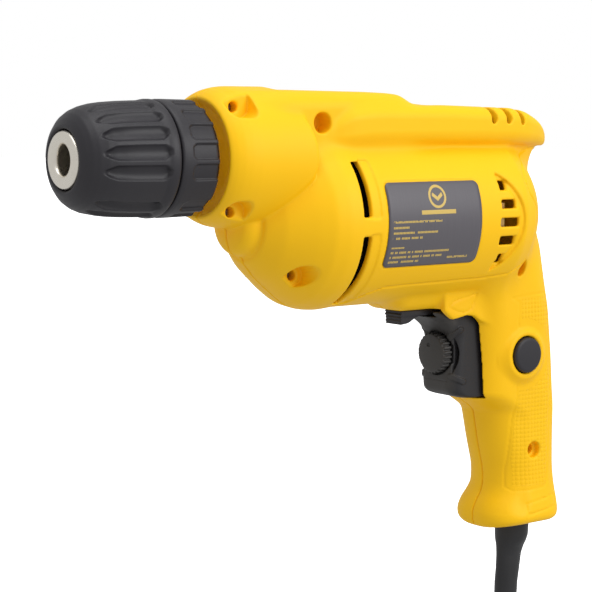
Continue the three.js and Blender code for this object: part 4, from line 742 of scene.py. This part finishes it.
def grip_details(clay, body):
    """The soft recess for the fingers, the panel of dots and the plate on the flange."""
    cut(clay, body, (130, 8, -150), (162, 30, -100), lambda u, y, z: brick(
        (u - 137.5, y - 22.6, z + 127), (17, 6.6, 21.5), 5), 2.6)
    panel = [(141.6, -58.2), (161, -57.2), (162.4, -58.6), (166.2, -82), (166.6, -100), (166, -125),
             (165.4, -137), (163.8, -139), (148.6, -139.6), (146.6, -138), (146.2, -110), (146.4, -100),
             (145.8, -60)]
    spans, cu, _, cz = clay.within((138, 10, -142), (170, 30, -55))
    groove(body, spans, np.abs(outline_distance(panel, cu, cz)), 0.3, 0.25)
    leaf = [(111, -60.4), (113.2, -58.4), (117.2, -57.2), (122, -56.4), (124.8, -55.6), (124.6, -58.4),
            (122.8, -61.6), (119.6, -63), (115.6, -62.4)]
    spans, cu, _, cz = clay.within((105, 8, -66), (130, 30, -50))
    groove(body, spans, np.abs(outline_distance(leaf, cu, cz)), 0.3, 0.35)
    plate = [(153, -149.4), (169.6, -147.4), (170.6, -146.2), (170.2, -143.4), (169, -142.8), (153, -145)]
    spans, cu, _, cz = clay.within((148, 8, -154), (176, 30, -140))
    groove(body, spans, np.abs(outline_distance(plate, cu, cz)), 0.3, 0.3)


def left_details(clay, body):
    cut(clay, body, (60, 10, -46), (116, 40, -4), lambda u, y, z: np.maximum(
        brick((u - sum(LABEL["u"]) / 2, z - sum(LABEL["z"]) / 2), (23.7, 16.3), 2.9),
        33.25 - np.hypot(y, z - MOTOR_Z)), 0.3)
    lock_u, lock_z = LOCK_AT
    add(clay, body, (130, 8, -102), (170, 30, -62), lambda u, y, z: np.maximum(
        np.maximum(np.hypot(u - lock_u, z - lock_z) - 13.4 + np.maximum(y - 16.4, 0) * 1.3, y - 19.4),
        14.5 - y), 0.9)
    cut(clay, body, (138, 0, -94), (162, 30, -70), lambda u, y, z: np.maximum(
        np.hypot(u - lock_u, z - lock_z) - 7.75, 4 - y), 0.5)
    cut(clay, body, (132, 0, -100), (168, 17, -64), lambda u, y, z: np.maximum(
        np.hypot(u - lock_u, z - lock_z) - 10.4, y - 15.6), 0.3)
    pockets = [(9.0, 19.4, 5.4, 5.0, 3.6), (7.8, -19.4, 4.8, 4.2, 3.8), (42.9, 12.6, 3.8, 3.8, 3.7),
               (34.6, -43.6, 4.1, 4.1, 4.0), (145, -46, 3.3, 3.3, 3.2), (157.9, -122.7, 3.3, 3.3, 3.2)]
    for (hole_u, hole_z), (pu, pz, half_u, half_z, corner) in zip(SCREWS, pockets):
        low, high = (pu - 9, 0, pz - 9), (pu + 9, 40, pz + 9)
        cut(clay, body, low, high, lambda u, y, z: np.maximum(
            brick((u - pu, z - pz), (half_u, half_z), corner), 13 - y), 0.7)
        cut(clay, body, low, high, lambda u, y, z: np.hypot(u - hole_u, z - hole_z) - 1.95, 0.2)


def right_details(clay, body):
    for i, (hole_u, hole_z) in enumerate(SCREWS):
        seat = 9.4 if i == 5 else 11
        low, high = (hole_u - 7, 0, hole_z - 7), (hole_u + 7, 40, hole_z + 7)
        cut(clay, body, low, high, lambda u, y, z: np.maximum(
            np.hypot(u - hole_u, z - hole_z) - 3.8, seat - y), 0.5)
        cut(clay, body, low, high, lambda u, y, z: np.hypot(u - hole_u, z - hole_z) - 1.95, 0.2)


def yellow_finish():
    """Moulded nylon: a fine grain, slight clouding and flow marks, polished a little where hands rub it."""
    finish = Finish("yellow_nylon", specular_ior_level=0.24)
    place_vector = finish.place()
    grain = finish.noise(2400, 3, 0.6, place_vector)
    clouds = finish.noise(28, 4, 0.55, place_vector)
    tint = finish.blend(clouds, (1.0, 0.545, 0.0018), (1.0, 0.585, 0.0034))
    finish.colour(tint)
    finish.roughness(finish.between(clouds * 0.5 + grain * 0.5, 0.42, 0.60))
    u, y, z = finish.axes(place_vector)
    dots = dot_panel(finish, u, y, z)
    finish.relief(grain * 0.10 + dots, 0.32)
    return finish


def dot_panel(finish, u, y, z):
    """A panel of small domes on each side of the grip, as a height from 0 to 1."""
    pitch = 0.0036
    steps = {}
    for name, axis in (("u", u + z * 0.06), ("z", z)):
        cell = finish.node("ShaderNodeMath", {"operation": "PINGPONG"}, {0: axis, 1: pitch / 2})
        steps[name] = cell / (pitch / 2) - 0.5
    squares = steps["u"] * steps["u"] + steps["z"] * steps["z"]
    dome = finish.between(squares, 1.0, -2.2)
    dome = finish.node("ShaderNodeClamp", {}, {0: dome})
    panel = (u > -0.0115) * (u < 0.0060) * (z > -0.0275) * (z < 0.0515) * (abs(y) > 0.0125)
    button = (u + 0.0093) * (u + 0.0093) + (z - 0.028) * (z - 0.028)
    return dome * panel * (button > 0.000225) * 0.4


def make_shells():
    clay = Clay((-1.5, -1.0, -160), (187, 36, 28), VOXEL)
    body = shell_field(clay)
    shells = {}
    for side, details in (("left", left_details), ("right", right_details)):
        field = body.copy()
        air_slots(clay, field)
        grip_details(clay, field)
        details(clay, field)
        field = np.maximum(field, -trigger_mouth(clay))
        field = np.maximum(field, PARTING - clay.y)
        shells[side] = clay.shape(field, f"{side}_shell", mirrored=side == "left")
    return shells


yellow = yellow_finish()
for side, shell in make_shells().items():
    yellow.wear(shell)
    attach(shell, "housing")
    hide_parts(f"{side}_housing")

# ---- Chuck -------------------------------------------------------------------------------------------------
# A keyless chuck: a turned steel body with a bright nose ring, three hardened jaws, and two glass-filled
# plastic sleeves with fifteen grips each, in three groups of five.
CHUCK_NOSE = -55.2  # of the housing's frame
GRIP_ANGLES = [67.5 - 20 * i for i in range(18) if i % 6 != 5]  # round from the left side, upwards
FRONT_SLEEVE = [
    (1.6, 10.7), (0.9, 11.2), (0.8, 11.6), (1.1, 12.4), (2.1, 14.3), (3.7, 16.2), (5.8, 17.6), (8.6, 18.7),
    (12, 19.5), (16, 20.0), (22, 20.4), (28, 20.6), (31.6, 20.7), (32.6, 21.0), (33.8, 21.2), (35.2, 21.2),
    (35.9, 21.0), (36.3, 20.5), (36.3, 18.1), (25.2, 18.1), (25.2, 14.2), (13, 14.2), (7, 10.7),
]
REAR_SLEEVE = [
    (36.8, 15.4), (36.8, 20.5), (37.3, 21.0), (38.6, 21.2), (40.6, 21.2), (51.4, 21.0), (52.2, 20.7),
    (52.6, 20.0), (52.6, 19.2), (39.2, 19.2), (39.2, 15.4),
]
NOSE = [
    (30.2, 5.3), (1.7, 5.3), (0.6, 5.8), (0.15, 6.5), (0.0, 7.3), (0.0, 8.8), (0.35, 9.6), (1.1, 10.2),
    (2.1, 10.4), (7, 10.4), (12.8, 13), (24.9, 13), (24.9, 10.6), (30.6, 10.6), (30.6, 13), (49.4, 13),
        (49.4, 18.9),
    (53.4, 18.9), (53.4, 6.7), (39.4, 6.7), (39.4, 3.2), (32.6, 3.2), (32.6, 5.3),
]


def revolved(name, profile, turns, dent=None, step=0.7):
    """A closed ring about the spindle's axis. The dent lowers the surface at a depth, radius and angle."""
    fine = []
    for (x0, r0), (x1, r1) in zip(profile, profile[1:] + profile[:1]):
        count = max(1, int(math.hypot(x1 - x0, r1 - r0) / step))
        fine += [(x0 + (x1 - x0) * i / count, r0 + (r1 - r0) * i / count) for i in range(count)]
    rings = np.array(fine, dtype=float)
    angles = np.arange(turns) * 2 * math.pi / turns
    x = np.repeat(rings[:, :1], turns, axis=1)
    radius = np.repeat(rings[:, 1:], turns, axis=1)
    if dent:
        radius = radius - dent(x, radius, np.degrees(angles)[None, :])
    y, z = -radius * np.cos(angles), radius * np.sin(angles)
    points = np.stack([x + CHUCK_NOSE, y, z], axis=-1).reshape(-1, 3)
    points = (points - (GRIP_CENTRE[0], 0, GRIP_CENTRE[1])) / 1000
    faces = []
    for i in range(len(rings)):
        for j in range(turns):
            after, beside = ((i + 1) % len(rings)) * turns, (j + 1) % turns
            faces.append((i * turns + j, i * turns + beside, after + beside, after + j))
    data = bpy.data.meshes.new(name)
    data.from_pydata(points.tolist(), [], faces)
    data.shade_smooth()
    piece = bpy.data.objects.new(name, data)
    scene.collection.objects.link(piece)
    return piece


def off_grip(angles):
    """Degrees from the nearest grip."""
    gaps = [np.abs((angles - grip + 180) % 360 - 180) for grip in GRIP_ANGLES]
    return np.minimum.reduce(gaps)


def flute_dent(x, radius, angles):
    """Scoops with a long pointed front and a deep round end at the rear."""
    across = off_grip(angles) * math.pi / 180 * 20.4
    width = 2.75 * np.clip((x - 6.4) / 5.4, 0, 1) ** 0.6 * np.sqrt(np.clip((32.6 - x) / 2.4, 0, 1))
    depth = 1.9 * ease(x, 6.4, 9.6) - 0.35 * ease(x, 12, 20)
    bowl = np.clip(1 - (across / np.maximum(width, 0.01)) ** 2, 0, 1)
    return np.where((radius > 17.6) & (width > 0.05) & (x < 33), depth * bowl ** 0.6, 0)


def flat_dent(x, radius, angles):
    """Recessed flats that run out at the sleeve's rear edge."""
    across = off_grip(angles) * math.pi / 180 * 20.8
    sides = 1 - ease(across, 2.5, 3.1)
    start = ease(x - 1.2 * np.clip((across - 1.2) / 1.4, 0, 1) ** 2, 40.9, 41.8)
    return np.where(radius > 19.6, 0.95 * sides * start, 0)


def black_plastic_finish():
    """Black moulded nylon with a violet cast: fine grain, rubbed smoother where fingers hold it."""
    finish = Finish("black_nylon", specular_ior_level=0.45)
    where = finish.place()
    grain = finish.noise(2600, 3, 0.6, where)
    rubbed = finish.noise(60, 3, 0.5, where)
    finish.colour(finish.blend(rubbed, (0.0150, 0.0138, 0.0178), (0.0215, 0.0196, 0.0245)))
    finish.roughness(finish.between(rubbed * 0.55 + grain * 0.45, 0.38, 0.58))
    finish.relief(grain, 0.035)
    return finish


def turned_steel_finish(name, light, dark, rough):
    """Steel turned about the spindle: fine tool lines round the axis and faint oil staining."""
    finish = Finish(name, metallic=1.0)
    where = finish.place()
    x, y, z = finish.axes(where)
    up = z - 0.11
    reach = finish.node("ShaderNodeMath", {"operation": "SQRT"}, {0: y * y + up * up})
    lines = finish.node("ShaderNodeCombineXYZ", {}, {0: x * 5200, 1: reach * 5200, 2: 0.0})
    cuts = finish.noise(1, 2, 0.55, lines)
    stain = finish.noise(160, 4, 0.6, where)
    finish.colour(finish.blend(stain, light, dark))
    finish.roughness(finish.between(cuts * 0.45 + stain * 0.55, rough - 0.09, rough + 0.12))
    finish.relief(cuts, 0.012)
    return finish


black = black_plastic_finish()
bright_steel = turned_steel_finish("turned_steel", (0.88, 0.84, 0.76), (0.76, 0.71, 0.62), 0.27)
hard_steel = turned_steel_finish("hardened_steel", (0.26, 0.25, 0.25), (0.17, 0.165, 0.17), 0.38)
TURNS = 540

front_sleeve = revolved("front_grip_sleeve", FRONT_SLEEVE, TURNS, flute_dent, 0.5)
rear_sleeve = revolved("rear_grip_sleeve", REAR_SLEEVE, TURNS, flat_dent, 0.4)
chuck_core = revolved("chuck_core", NOSE, TURNS // 2, None, 0.8)
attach(chuck_core, "spindle_assembly")
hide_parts("chuck_body")
for piece, body, node in ((front_sleeve, "front_sleeve", "chuck_front_sleeve"),
                          (rear_sleeve, "spindle_assembly", "chuck_rear_sleeve")):
    black.wear(piece)
    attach(piece, body)
    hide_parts(node)
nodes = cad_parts
bright_steel.wear(chuck_core, nodes["spindle"], nodes["chuck_screw"])
hard_steel.wear(nodes["jaw_1"], nodes["jaw_2"], nodes["jaw_3"], nodes["jaw_nut"])

# ---- Nameplate ---------------------------------------------------------------------------------------------
# A printed aluminium foil label, 46 mm by 32 mm with rounded corners, stuck in a shallow seat on the left
# shell. Its print is gold on grey: a plain ring mark, a bar under it and rows of small blank strokes.
LABEL_SKIN = 33.75  # radius of its face about the motor


def nameplate():
    half_u, half_z = (LABEL["u"][1] - LABEL["u"][0]) / 2, (LABEL["z"][1] - LABEL["z"][0]) / 2
    middle_u, middle_z = sum(LABEL["u"]) / 2, sum(LABEL["z"]) / 2
    corner = LABEL["corner"]
    rim = []
    for quarter, (su, sz) in enumerate(((1, 1), (-1, 1), (-1, -1), (1, -1))):
        for step in range(13):
            angle = (quarter + step / 12) * math.pi / 2
            rim.append((su * (half_u - corner) + corner * math.cos(angle),
                        sz * (half_z - corner) + corner * math.sin(angle)))
        for step in range(1, 12):
            share = step / 12
            if quarter % 2 == 0:
                rim.append((su * (half_u - corner) * (1 - 2 * share), sz * half_z))
            else:
                rim.append((su * half_u, sz * (half_z - corner) * (1 - 2 * share)))
    points, faces, count, shells = [], [], len(rim), 16
    for radius in (LABEL_SKIN, LABEL_SKIN - 0.4):
        for shell in range(1, shells + 1):
            for ru, rz in rim:
                z = middle_z + rz * shell / shells
                points.append(place(middle_u + ru * shell / shells,
                                    -math.sqrt(radius ** 2 - (z - MOTOR_Z) ** 2), z))
        points.append(place(middle_u, -math.sqrt(radius ** 2 - (middle_z - MOTOR_Z) ** 2), middle_z))
    skin = shells * count + 1
    for layer, flip in ((0, False), (skin, True)):
        for j in range(count):
            beside = (j + 1) % count
            ring = (layer + skin - 1, layer + j, layer + beside)
            faces.append(ring if flip else ring[::-1])
            for shell in range(shells - 1):
                start = layer + shell * count
                quad = (start + j, start + count + j, start + count + beside, start + beside)
                faces.append(quad if flip else quad[::-1])
    edge = (shells - 1) * count
    for j in range(count):
        beside = (j + 1) % count
        faces.append((edge + j, edge + beside, skin + edge + beside, skin + edge + j))
    data = bpy.data.meshes.new("label_foil")
    data.from_pydata(points, [], faces)
    data.shade_smooth()
    piece = bpy.data.objects.new("label_foil", data)
    scene.collection.objects.link(piece)
    return piece


def label_finish():
    """Printed foil: a grey ground with a faint vertical brushing, and a slightly glossier gold print."""
    finish = Finish("printed_foil", specular_ior_level=0.5)
    where = finish.place()
    x, _, z = finish.axes(where)
    left, _, top = place(LABEL["u"][0], 0, LABEL["z"][1])
    u, v = (x - left) * 1000, (top - z) * 1000
    rows = [(2, 14.7, 24, 0.8), (2, 16.8, 9, 0.8), (2, 18.8, 22, 0.8), (2, 20.8, 14.6, 0.8)]
    rows += [(2, 24.4, 6.4, 0.6), (2, 26.2, 29, 0.8), (2, 28, 26, 0.8), (2, 29.8, 15, 0.8),
             (31, 29, 10.4, 0.8)]
    strokes = finish.node("ShaderNodeTexWhiteNoise", {"noise_dimensions": "2D"}, {0: finish.node(
        "ShaderNodeCombineXYZ", {}, {0: finish.node("ShaderNodeMath", {"operation": "FLOOR"}, {0: u * 1.45}),
                                     1: finish.node("ShaderNodeMath", {"operation": "FLOOR"},
                                                    {0: v * 0.55})})})
    gaps = finish.node("ShaderNodeMath", {"operation": "FRACT"}, {0: u * 1.45})
    dashes = (strokes > 0.16) * (gaps > 0.24)
    print_mask = 0.0
    for margin, level, length, height in rows:
        row = (abs(v - level) < height / 2) * (u > margin) * (u < margin + length)
        print_mask = row + print_mask
    print_mask = print_mask * dashes
    ring_u, ring_v = u - 24.5, v - 5.6
    reach = finish.node("ShaderNodeMath", {"operation": "SQRT"}, {0: ring_u * ring_u + ring_v * ring_v})
    ring = abs(reach - 3.9) < 0.5
    chevron = (abs(ring_v + abs(ring_u) * 0.75 - 0.9) < 0.8) * (reach < 2.7)
    bar = (abs(v - 11.4) < 0.8) * (abs(u - 24.5) < 8.6)
    print_mask = finish.node("ShaderNodeClamp", {}, {0: print_mask + ring + chevron + bar})
    brushed = finish.node("ShaderNodeCombineXYZ", {}, {0: x * 3000, 1: 0.0, 2: z * 90})
    lines = finish.noise(1, 3, 0.6, brushed)
    ground = finish.blend(lines, (0.082, 0.076, 0.088), (0.118, 0.110, 0.122))
    finish.colour(finish.blend(print_mask, ground, (0.62, 0.43, 0.10)))
    finish.roughness(finish.between(lines, 0.34, 0.48) - print_mask * 0.08)
    finish.relief(print_mask * 0.8 + lines * 0.2, 0.02)
    return finish


foil = nameplate()
label_finish().wear(foil)
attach(foil, "housing")
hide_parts("nameplate")

# ---- Trigger -----------------------------------------------------------------------------------------------
# The finger pad is one hollow moulding in black nylon that slides into the grip: flared at its top, with a
# round pocket for the speed dial, two index marks beside it and a chin below.
TRIGGER_REAR = 136.5
DIAL_U, DIAL_Z = 113.6, -80.5
TRIGGER_FRONT = {
    "z": [-98.9, -98, -96.6, -95.2, -91, -87, -73, -69, -66.3, -64.2, -62.4],
    "u": [125, 120.5, 118.2, 117.2, 116.8, 117.1, 118.1, 114.4, 110.6, 106.4, 104.4],
}
PAINTED_SHEEN_START = place(119.8, 0, 0)[0]  # from here forward the trigger is painted a lighter grey, a painted sheen for the light on its finger face


def trigger():
    clay = Clay((103, -12.4, -101), (153, 12.4, -62.6), FINE_VOXEL)
    u, y, z = clay.u, clay.y, clay.z
    front = along(TRIGGER_FRONT["z"], TRIGGER_FRONT["u"], clay.axes[2], 0.9)
    middle, deep = (TRIGGER_REAR + 8 + front) / 2, (TRIGGER_REAR + 8 - front) / 2
    plan = brick((u - middle, y), (deep, 10.8), 5.5)
    field = common(np.maximum(plan, u - TRIGGER_REAR), np.maximum(-98.8 - z, z + 62.4), 1.2)
    field = carve(field, np.maximum(-64.6 - z, np.abs(y) - 9.2), 0.3)
    dial_radius = np.hypot(y, z - DIAL_Z)
    dish = (dial_radius - 9.0 - (122.4 - u) * 0.62) * 0.85
    field = carve(field, np.maximum(dish, 8.4 - np.abs(y)), 0.3)
    field = carve(field, np.maximum(dial_radius - 8.95, u - 119.4), 0.3)
    round_side = (u + 0.87 * np.abs(y)) / 1.33
    skin = field
    for start, end in (((93.2, -74.0), (97.9, -70.3)), ((94.2, -89.3), (99.2, -91.6))):
        du, dz = end[0] - start[0], end[1] - start[1]
        share = np.clip(((round_side - start[0]) * du + (z - start[1]) * dz) / (du * du + dz * dz), 0, 1)
        bar = np.hypot(round_side - start[0] - share * du, z - start[1] - share * dz) - 1.15
        bar = common(bar, np.abs(skin) - 0.6, 0.3)
        field = melt(field, np.maximum(bar, 9.1 - dial_radius), 0.3)
    seam = np.maximum(np.abs(z + 91.6 + (u - 118) * 0.1) - 0.16, np.maximum(u - 119, np.abs(y) - 7))
    field = carve(field, np.maximum(seam, -0.3 - field), 0.1)
    field = carve(field, np.maximum(dial_radius - 2.3, u - 127), 0.1)
    plunger = brick((u - 143.9, y, z + 82), (8.0, 3, 4), 0.4)
    return clay.shape(melt(field, plunger, 0.2), "finger_trigger")


def speed_dial():
    """A round knob on a stub pin, with a domed face and twenty-six coarse knurls round its rim."""
    clay = Clay((DIAL_U - 1, -9.4, DIAL_Z - 9.4), (DIAL_U + 11.8, 9.4, DIAL_Z + 9.4), FINE_VOXEL * 0.8)
    u, y, z = clay.u - DIAL_U, clay.y, clay.z - DIAL_Z
    radius = np.hypot(y, z)
    knurl = np.clip(np.cos(np.arctan2(y, z) * 26) * 2.4 + 0.5, -1, 1) * np.clip((u - 0.9) * 2, 0, 1)
    rim = radius - 7.95 - 0.42 * knurl
    field = common(np.maximum(rim, u - 5), 0.012 * radius ** 2 - u, 0.9)
    mark = np.maximum(np.hypot(y - 0.6, (z - 3.4) * 1.6) - 1.1, u - 0.7)
    field = carve(field, mark, 0.2)
    pin = np.maximum(radius - 2.0, np.maximum(2 - u, u - 11))
    return clay.shape(np.minimum(field, pin), "dial_knob")


def sheen_painted_black_finish():
    """The same black nylon, painted a lighter grey from the front edge forward: a painted sheen for the light
    that the finger face catches.
    """
    finish = Finish("black_nylon_painted_sheen", specular_ior_level=0.45)
    where = finish.place()
    grain = finish.noise(2200, 3, 0.6, where)
    cloud = finish.noise(60, 4, 0.6, where)
    x, _, _ = finish.axes(where)
    # painted sheen: forward of this edge the trigger and the dial get a lighter grey in place of the plain
    # black
    front = finish.node("ShaderNodeClamp", {}, {0: ((PAINTED_SHEEN_START - x) * 400)})
    # the lighter pair of greys is the painted sheen and the darker pair is the plain black; each pair varies
    # at random
    dull_and_sheen = finish.blend(cloud, (0.034, 0.031, 0.029), (0.046, 0.043, 0.040))
    plain_black = finish.blend(cloud, (0.013, 0.012, 0.014), (0.017, 0.016, 0.018))
    finish.colour(finish.blend(front, plain_black, dull_and_sheen))
    finish.roughness(finish.between(grain * 0.5 + cloud * 0.5, 0.42, 0.62))
    finish.relief(grain, 0.05)
    return finish


trigger_piece = trigger()
dial = speed_dial()
black_with_painted_sheen = sheen_painted_black_finish()
# the trigger and the dial both carry the painted sheen on their front
black_with_painted_sheen.wear(trigger_piece, dial)
black.wear(nodes["switch_body"], nodes["cord_clamp"])
for piece, body, node in ((trigger_piece, "trigger", "trigger"), (dial, "speed_dial", "speed_dial")):
    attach(piece, body)
    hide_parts(node)

# ---- Lock button and direction lever -----------------------------------------------------------------------
# The lock button is a slightly dished black cap that is pressed into the left shell. The direction lever is a
# flat arm under the motor that swings on a pin; its front tab is ribbed for the fingertip.
LEVER_TOP = -61.6


def lock_button():
    lock_u, lock_z = LOCK_AT
    clay = Clay((lock_u - 8.4, -22, lock_z - 8.4), (lock_u + 8.4, -13, lock_z + 8.4), FINE_VOXEL * 0.8)
    radius = np.hypot(clay.u - lock_u, clay.z - lock_z)
    dome = -21.0 - clay.y + 0.006 * radius ** 2
    field = common(np.maximum(radius - 7.3, clay.y + 14.9), dome, 1.3)
    field = carve(field, np.maximum(radius - 3.4, -17.8 - clay.y), 0.2)
    return clay.shape(field, "lock_cap")


def direction_lever():
    clay = Clay((93, -8, -69), (139.6, 8, -56.6), FINE_VOXEL)
    u, y, z = clay.u, clay.y, clay.z
    stations = [93.8, 98, 104, 124, 130, 138.4]
    half = along(stations, [4.8, 5.0, 5.6, 5.6, 4.6, 2.2], clay.axes[0], 1.0)[:, None, None]
    arm = brick((u - 116.2, y, z - LEVER_TOP + 1.2), (22, half, 1.2), 0.6)
    low = along([93.8, 98.5, 101, 103.5, 106], [-5.7, -5.2, -3.8, -2.6, -2.2],
                clay.axes[0], 0.8)[:, None, None]
    tab = common(np.maximum(np.abs(y) - 4.8, 94.2 - u), np.maximum(LEVER_TOP + low - z, z - LEVER_TOP), 0.5)
    field = melt(arm, np.maximum(tab, u - 107), 0.8)
    ribs = np.abs((z + 64) / 1.3 - np.round((z + 64) / 1.3)) * 1.3 - 0.24
    field = carve(field, np.maximum(ribs, u - 94.6), 0.15)
    pin = np.maximum(np.hypot(u - 124, y) - 3.0, np.maximum(LEVER_TOP - 1 - z, z - LEVER_TOP - 4))
    return clay.shape(np.minimum(field, pin), "reversing_lever")


cap = lock_button()
lever = direction_lever()
black.wear(cap, lever)
for piece, body, node in ((cap, "lock_button", "lock_button"), (lever, "direction_lever", "direction_lever")):
    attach(piece, body)
    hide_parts(node)

# ---- Motor and gears ---------------------------------------------------------------------------------------
# Inside the shells and seen through the slots: a universal motor with a laminated stator and armature,
# enamelled copper windings, a copper commutator with carbon brushes, a nylon fan and hardened gears.
def laminated_finish():
    """A stack of blued steel sheets, with a dark line at every sheet."""
    finish = Finish("laminated_steel", metallic=1.0)
    where = finish.place()
    x, _, _ = finish.axes(where)
    sheets = finish.node("ShaderNodeMath", {"operation": "PINGPONG"}, {0: x, 1: 0.00025})
    gap = (sheets < 0.00005)
    tarnish = finish.noise(120, 4, 0.6, where)
    steel = finish.blend(tarnish, (0.20, 0.20, 0.23), (0.30, 0.27, 0.25))
    finish.colour(finish.blend(gap, steel, (0.03, 0.03, 0.035)))
    finish.roughness(finish.between(tarnish, 0.35, 0.6))
    finish.relief(1 - gap, 0.05)
    return finish


def wire_finish():
    """Varnished copper wire wound in close turns."""
    finish = Finish("enamelled_wire", metallic=0.7, coat_weight=0.4)
    where = finish.place()
    x, y, z = finish.axes(where)
    strands = finish.node("ShaderNodeMath", {"operation": "SINE"}, {0: (x + y * 0.4 + z * 0.6) * 9000})
    strands = finish.between(strands, 0.5, 1.0)
    varnish = finish.noise(300, 3, 0.6, where)
    finish.colour(finish.blend(varnish, (0.42, 0.15, 0.06), (0.58, 0.24, 0.09)))
    finish.roughness(finish.between(varnish, 0.25, 0.5))
    finish.relief(strands, 0.12)
    return finish


def cast_finish(name, light, dark, rough):
    """Die-cast or sintered metal with a fine pitted skin."""
    finish = Finish(name, metallic=1.0)
    where = finish.place()
    pits = finish.noise(1300, 4, 0.7, where)
    cloud = finish.noise(90, 3, 0.5, where)
    finish.colour(finish.blend(cloud, light, dark))
    finish.roughness(finish.between(pits * 0.6 + cloud * 0.4, rough - 0.1, rough + 0.15))
    finish.relief(pits, 0.06)
    return finish


def carbon_finish():
    finish = Finish("carbon_block", roughness=0.8)
    specks = finish.noise(3000, 3, 0.7)
    finish.colour(finish.blend(specks, (0.012, 0.012, 0.013), (0.045, 0.045, 0.05)))
    finish.relief(specks, 0.05)
    return finish


laminated_finish().wear(nodes["rotor_core"], nodes["stator_core"])
wire_finish().wear(nodes["armature_windings"], nodes["field_coil_upper"], nodes["field_coil_lower"])
cast_finish("commutator_copper", (0.72, 0.36, 0.20), (0.50, 0.22, 0.11), 0.32).wear(nodes["commutator"])
cast_finish("die_cast_zinc", (0.46, 0.47, 0.49), (0.36, 0.37, 0.38), 0.45).wear(nodes["gear_plate"])
cast_finish("sintered_bronze", (0.42, 0.28, 0.13), (0.30, 0.19, 0.09), 0.5).wear(nodes["spindle_rear_bush"])
carbon_finish().wear(nodes["brush_left"], nodes["brush_right"])
bright_steel.wear(nodes["armature_shaft"], nodes["spindle_front_bearing"], nodes["armature_front_bearing"],
                  nodes["armature_rear_bearing"], nodes["clamp_screw_1"], nodes["clamp_screw_2"])
bright_steel.wear(*(nodes[f"{where}_spring"] for where in ("trigger", "lock")),
                  *(nodes[f"brush_spring_{where}"] for where in ("left", "right")))
hard_steel.wear(nodes["spindle_gear"], *(nodes[f"housing_screw_{i}"] for i in range(1, 7)))
black.wear(nodes["cooling_fan"], nodes["fan_baffle"])
pvc.wear(nodes["inner_lead"])
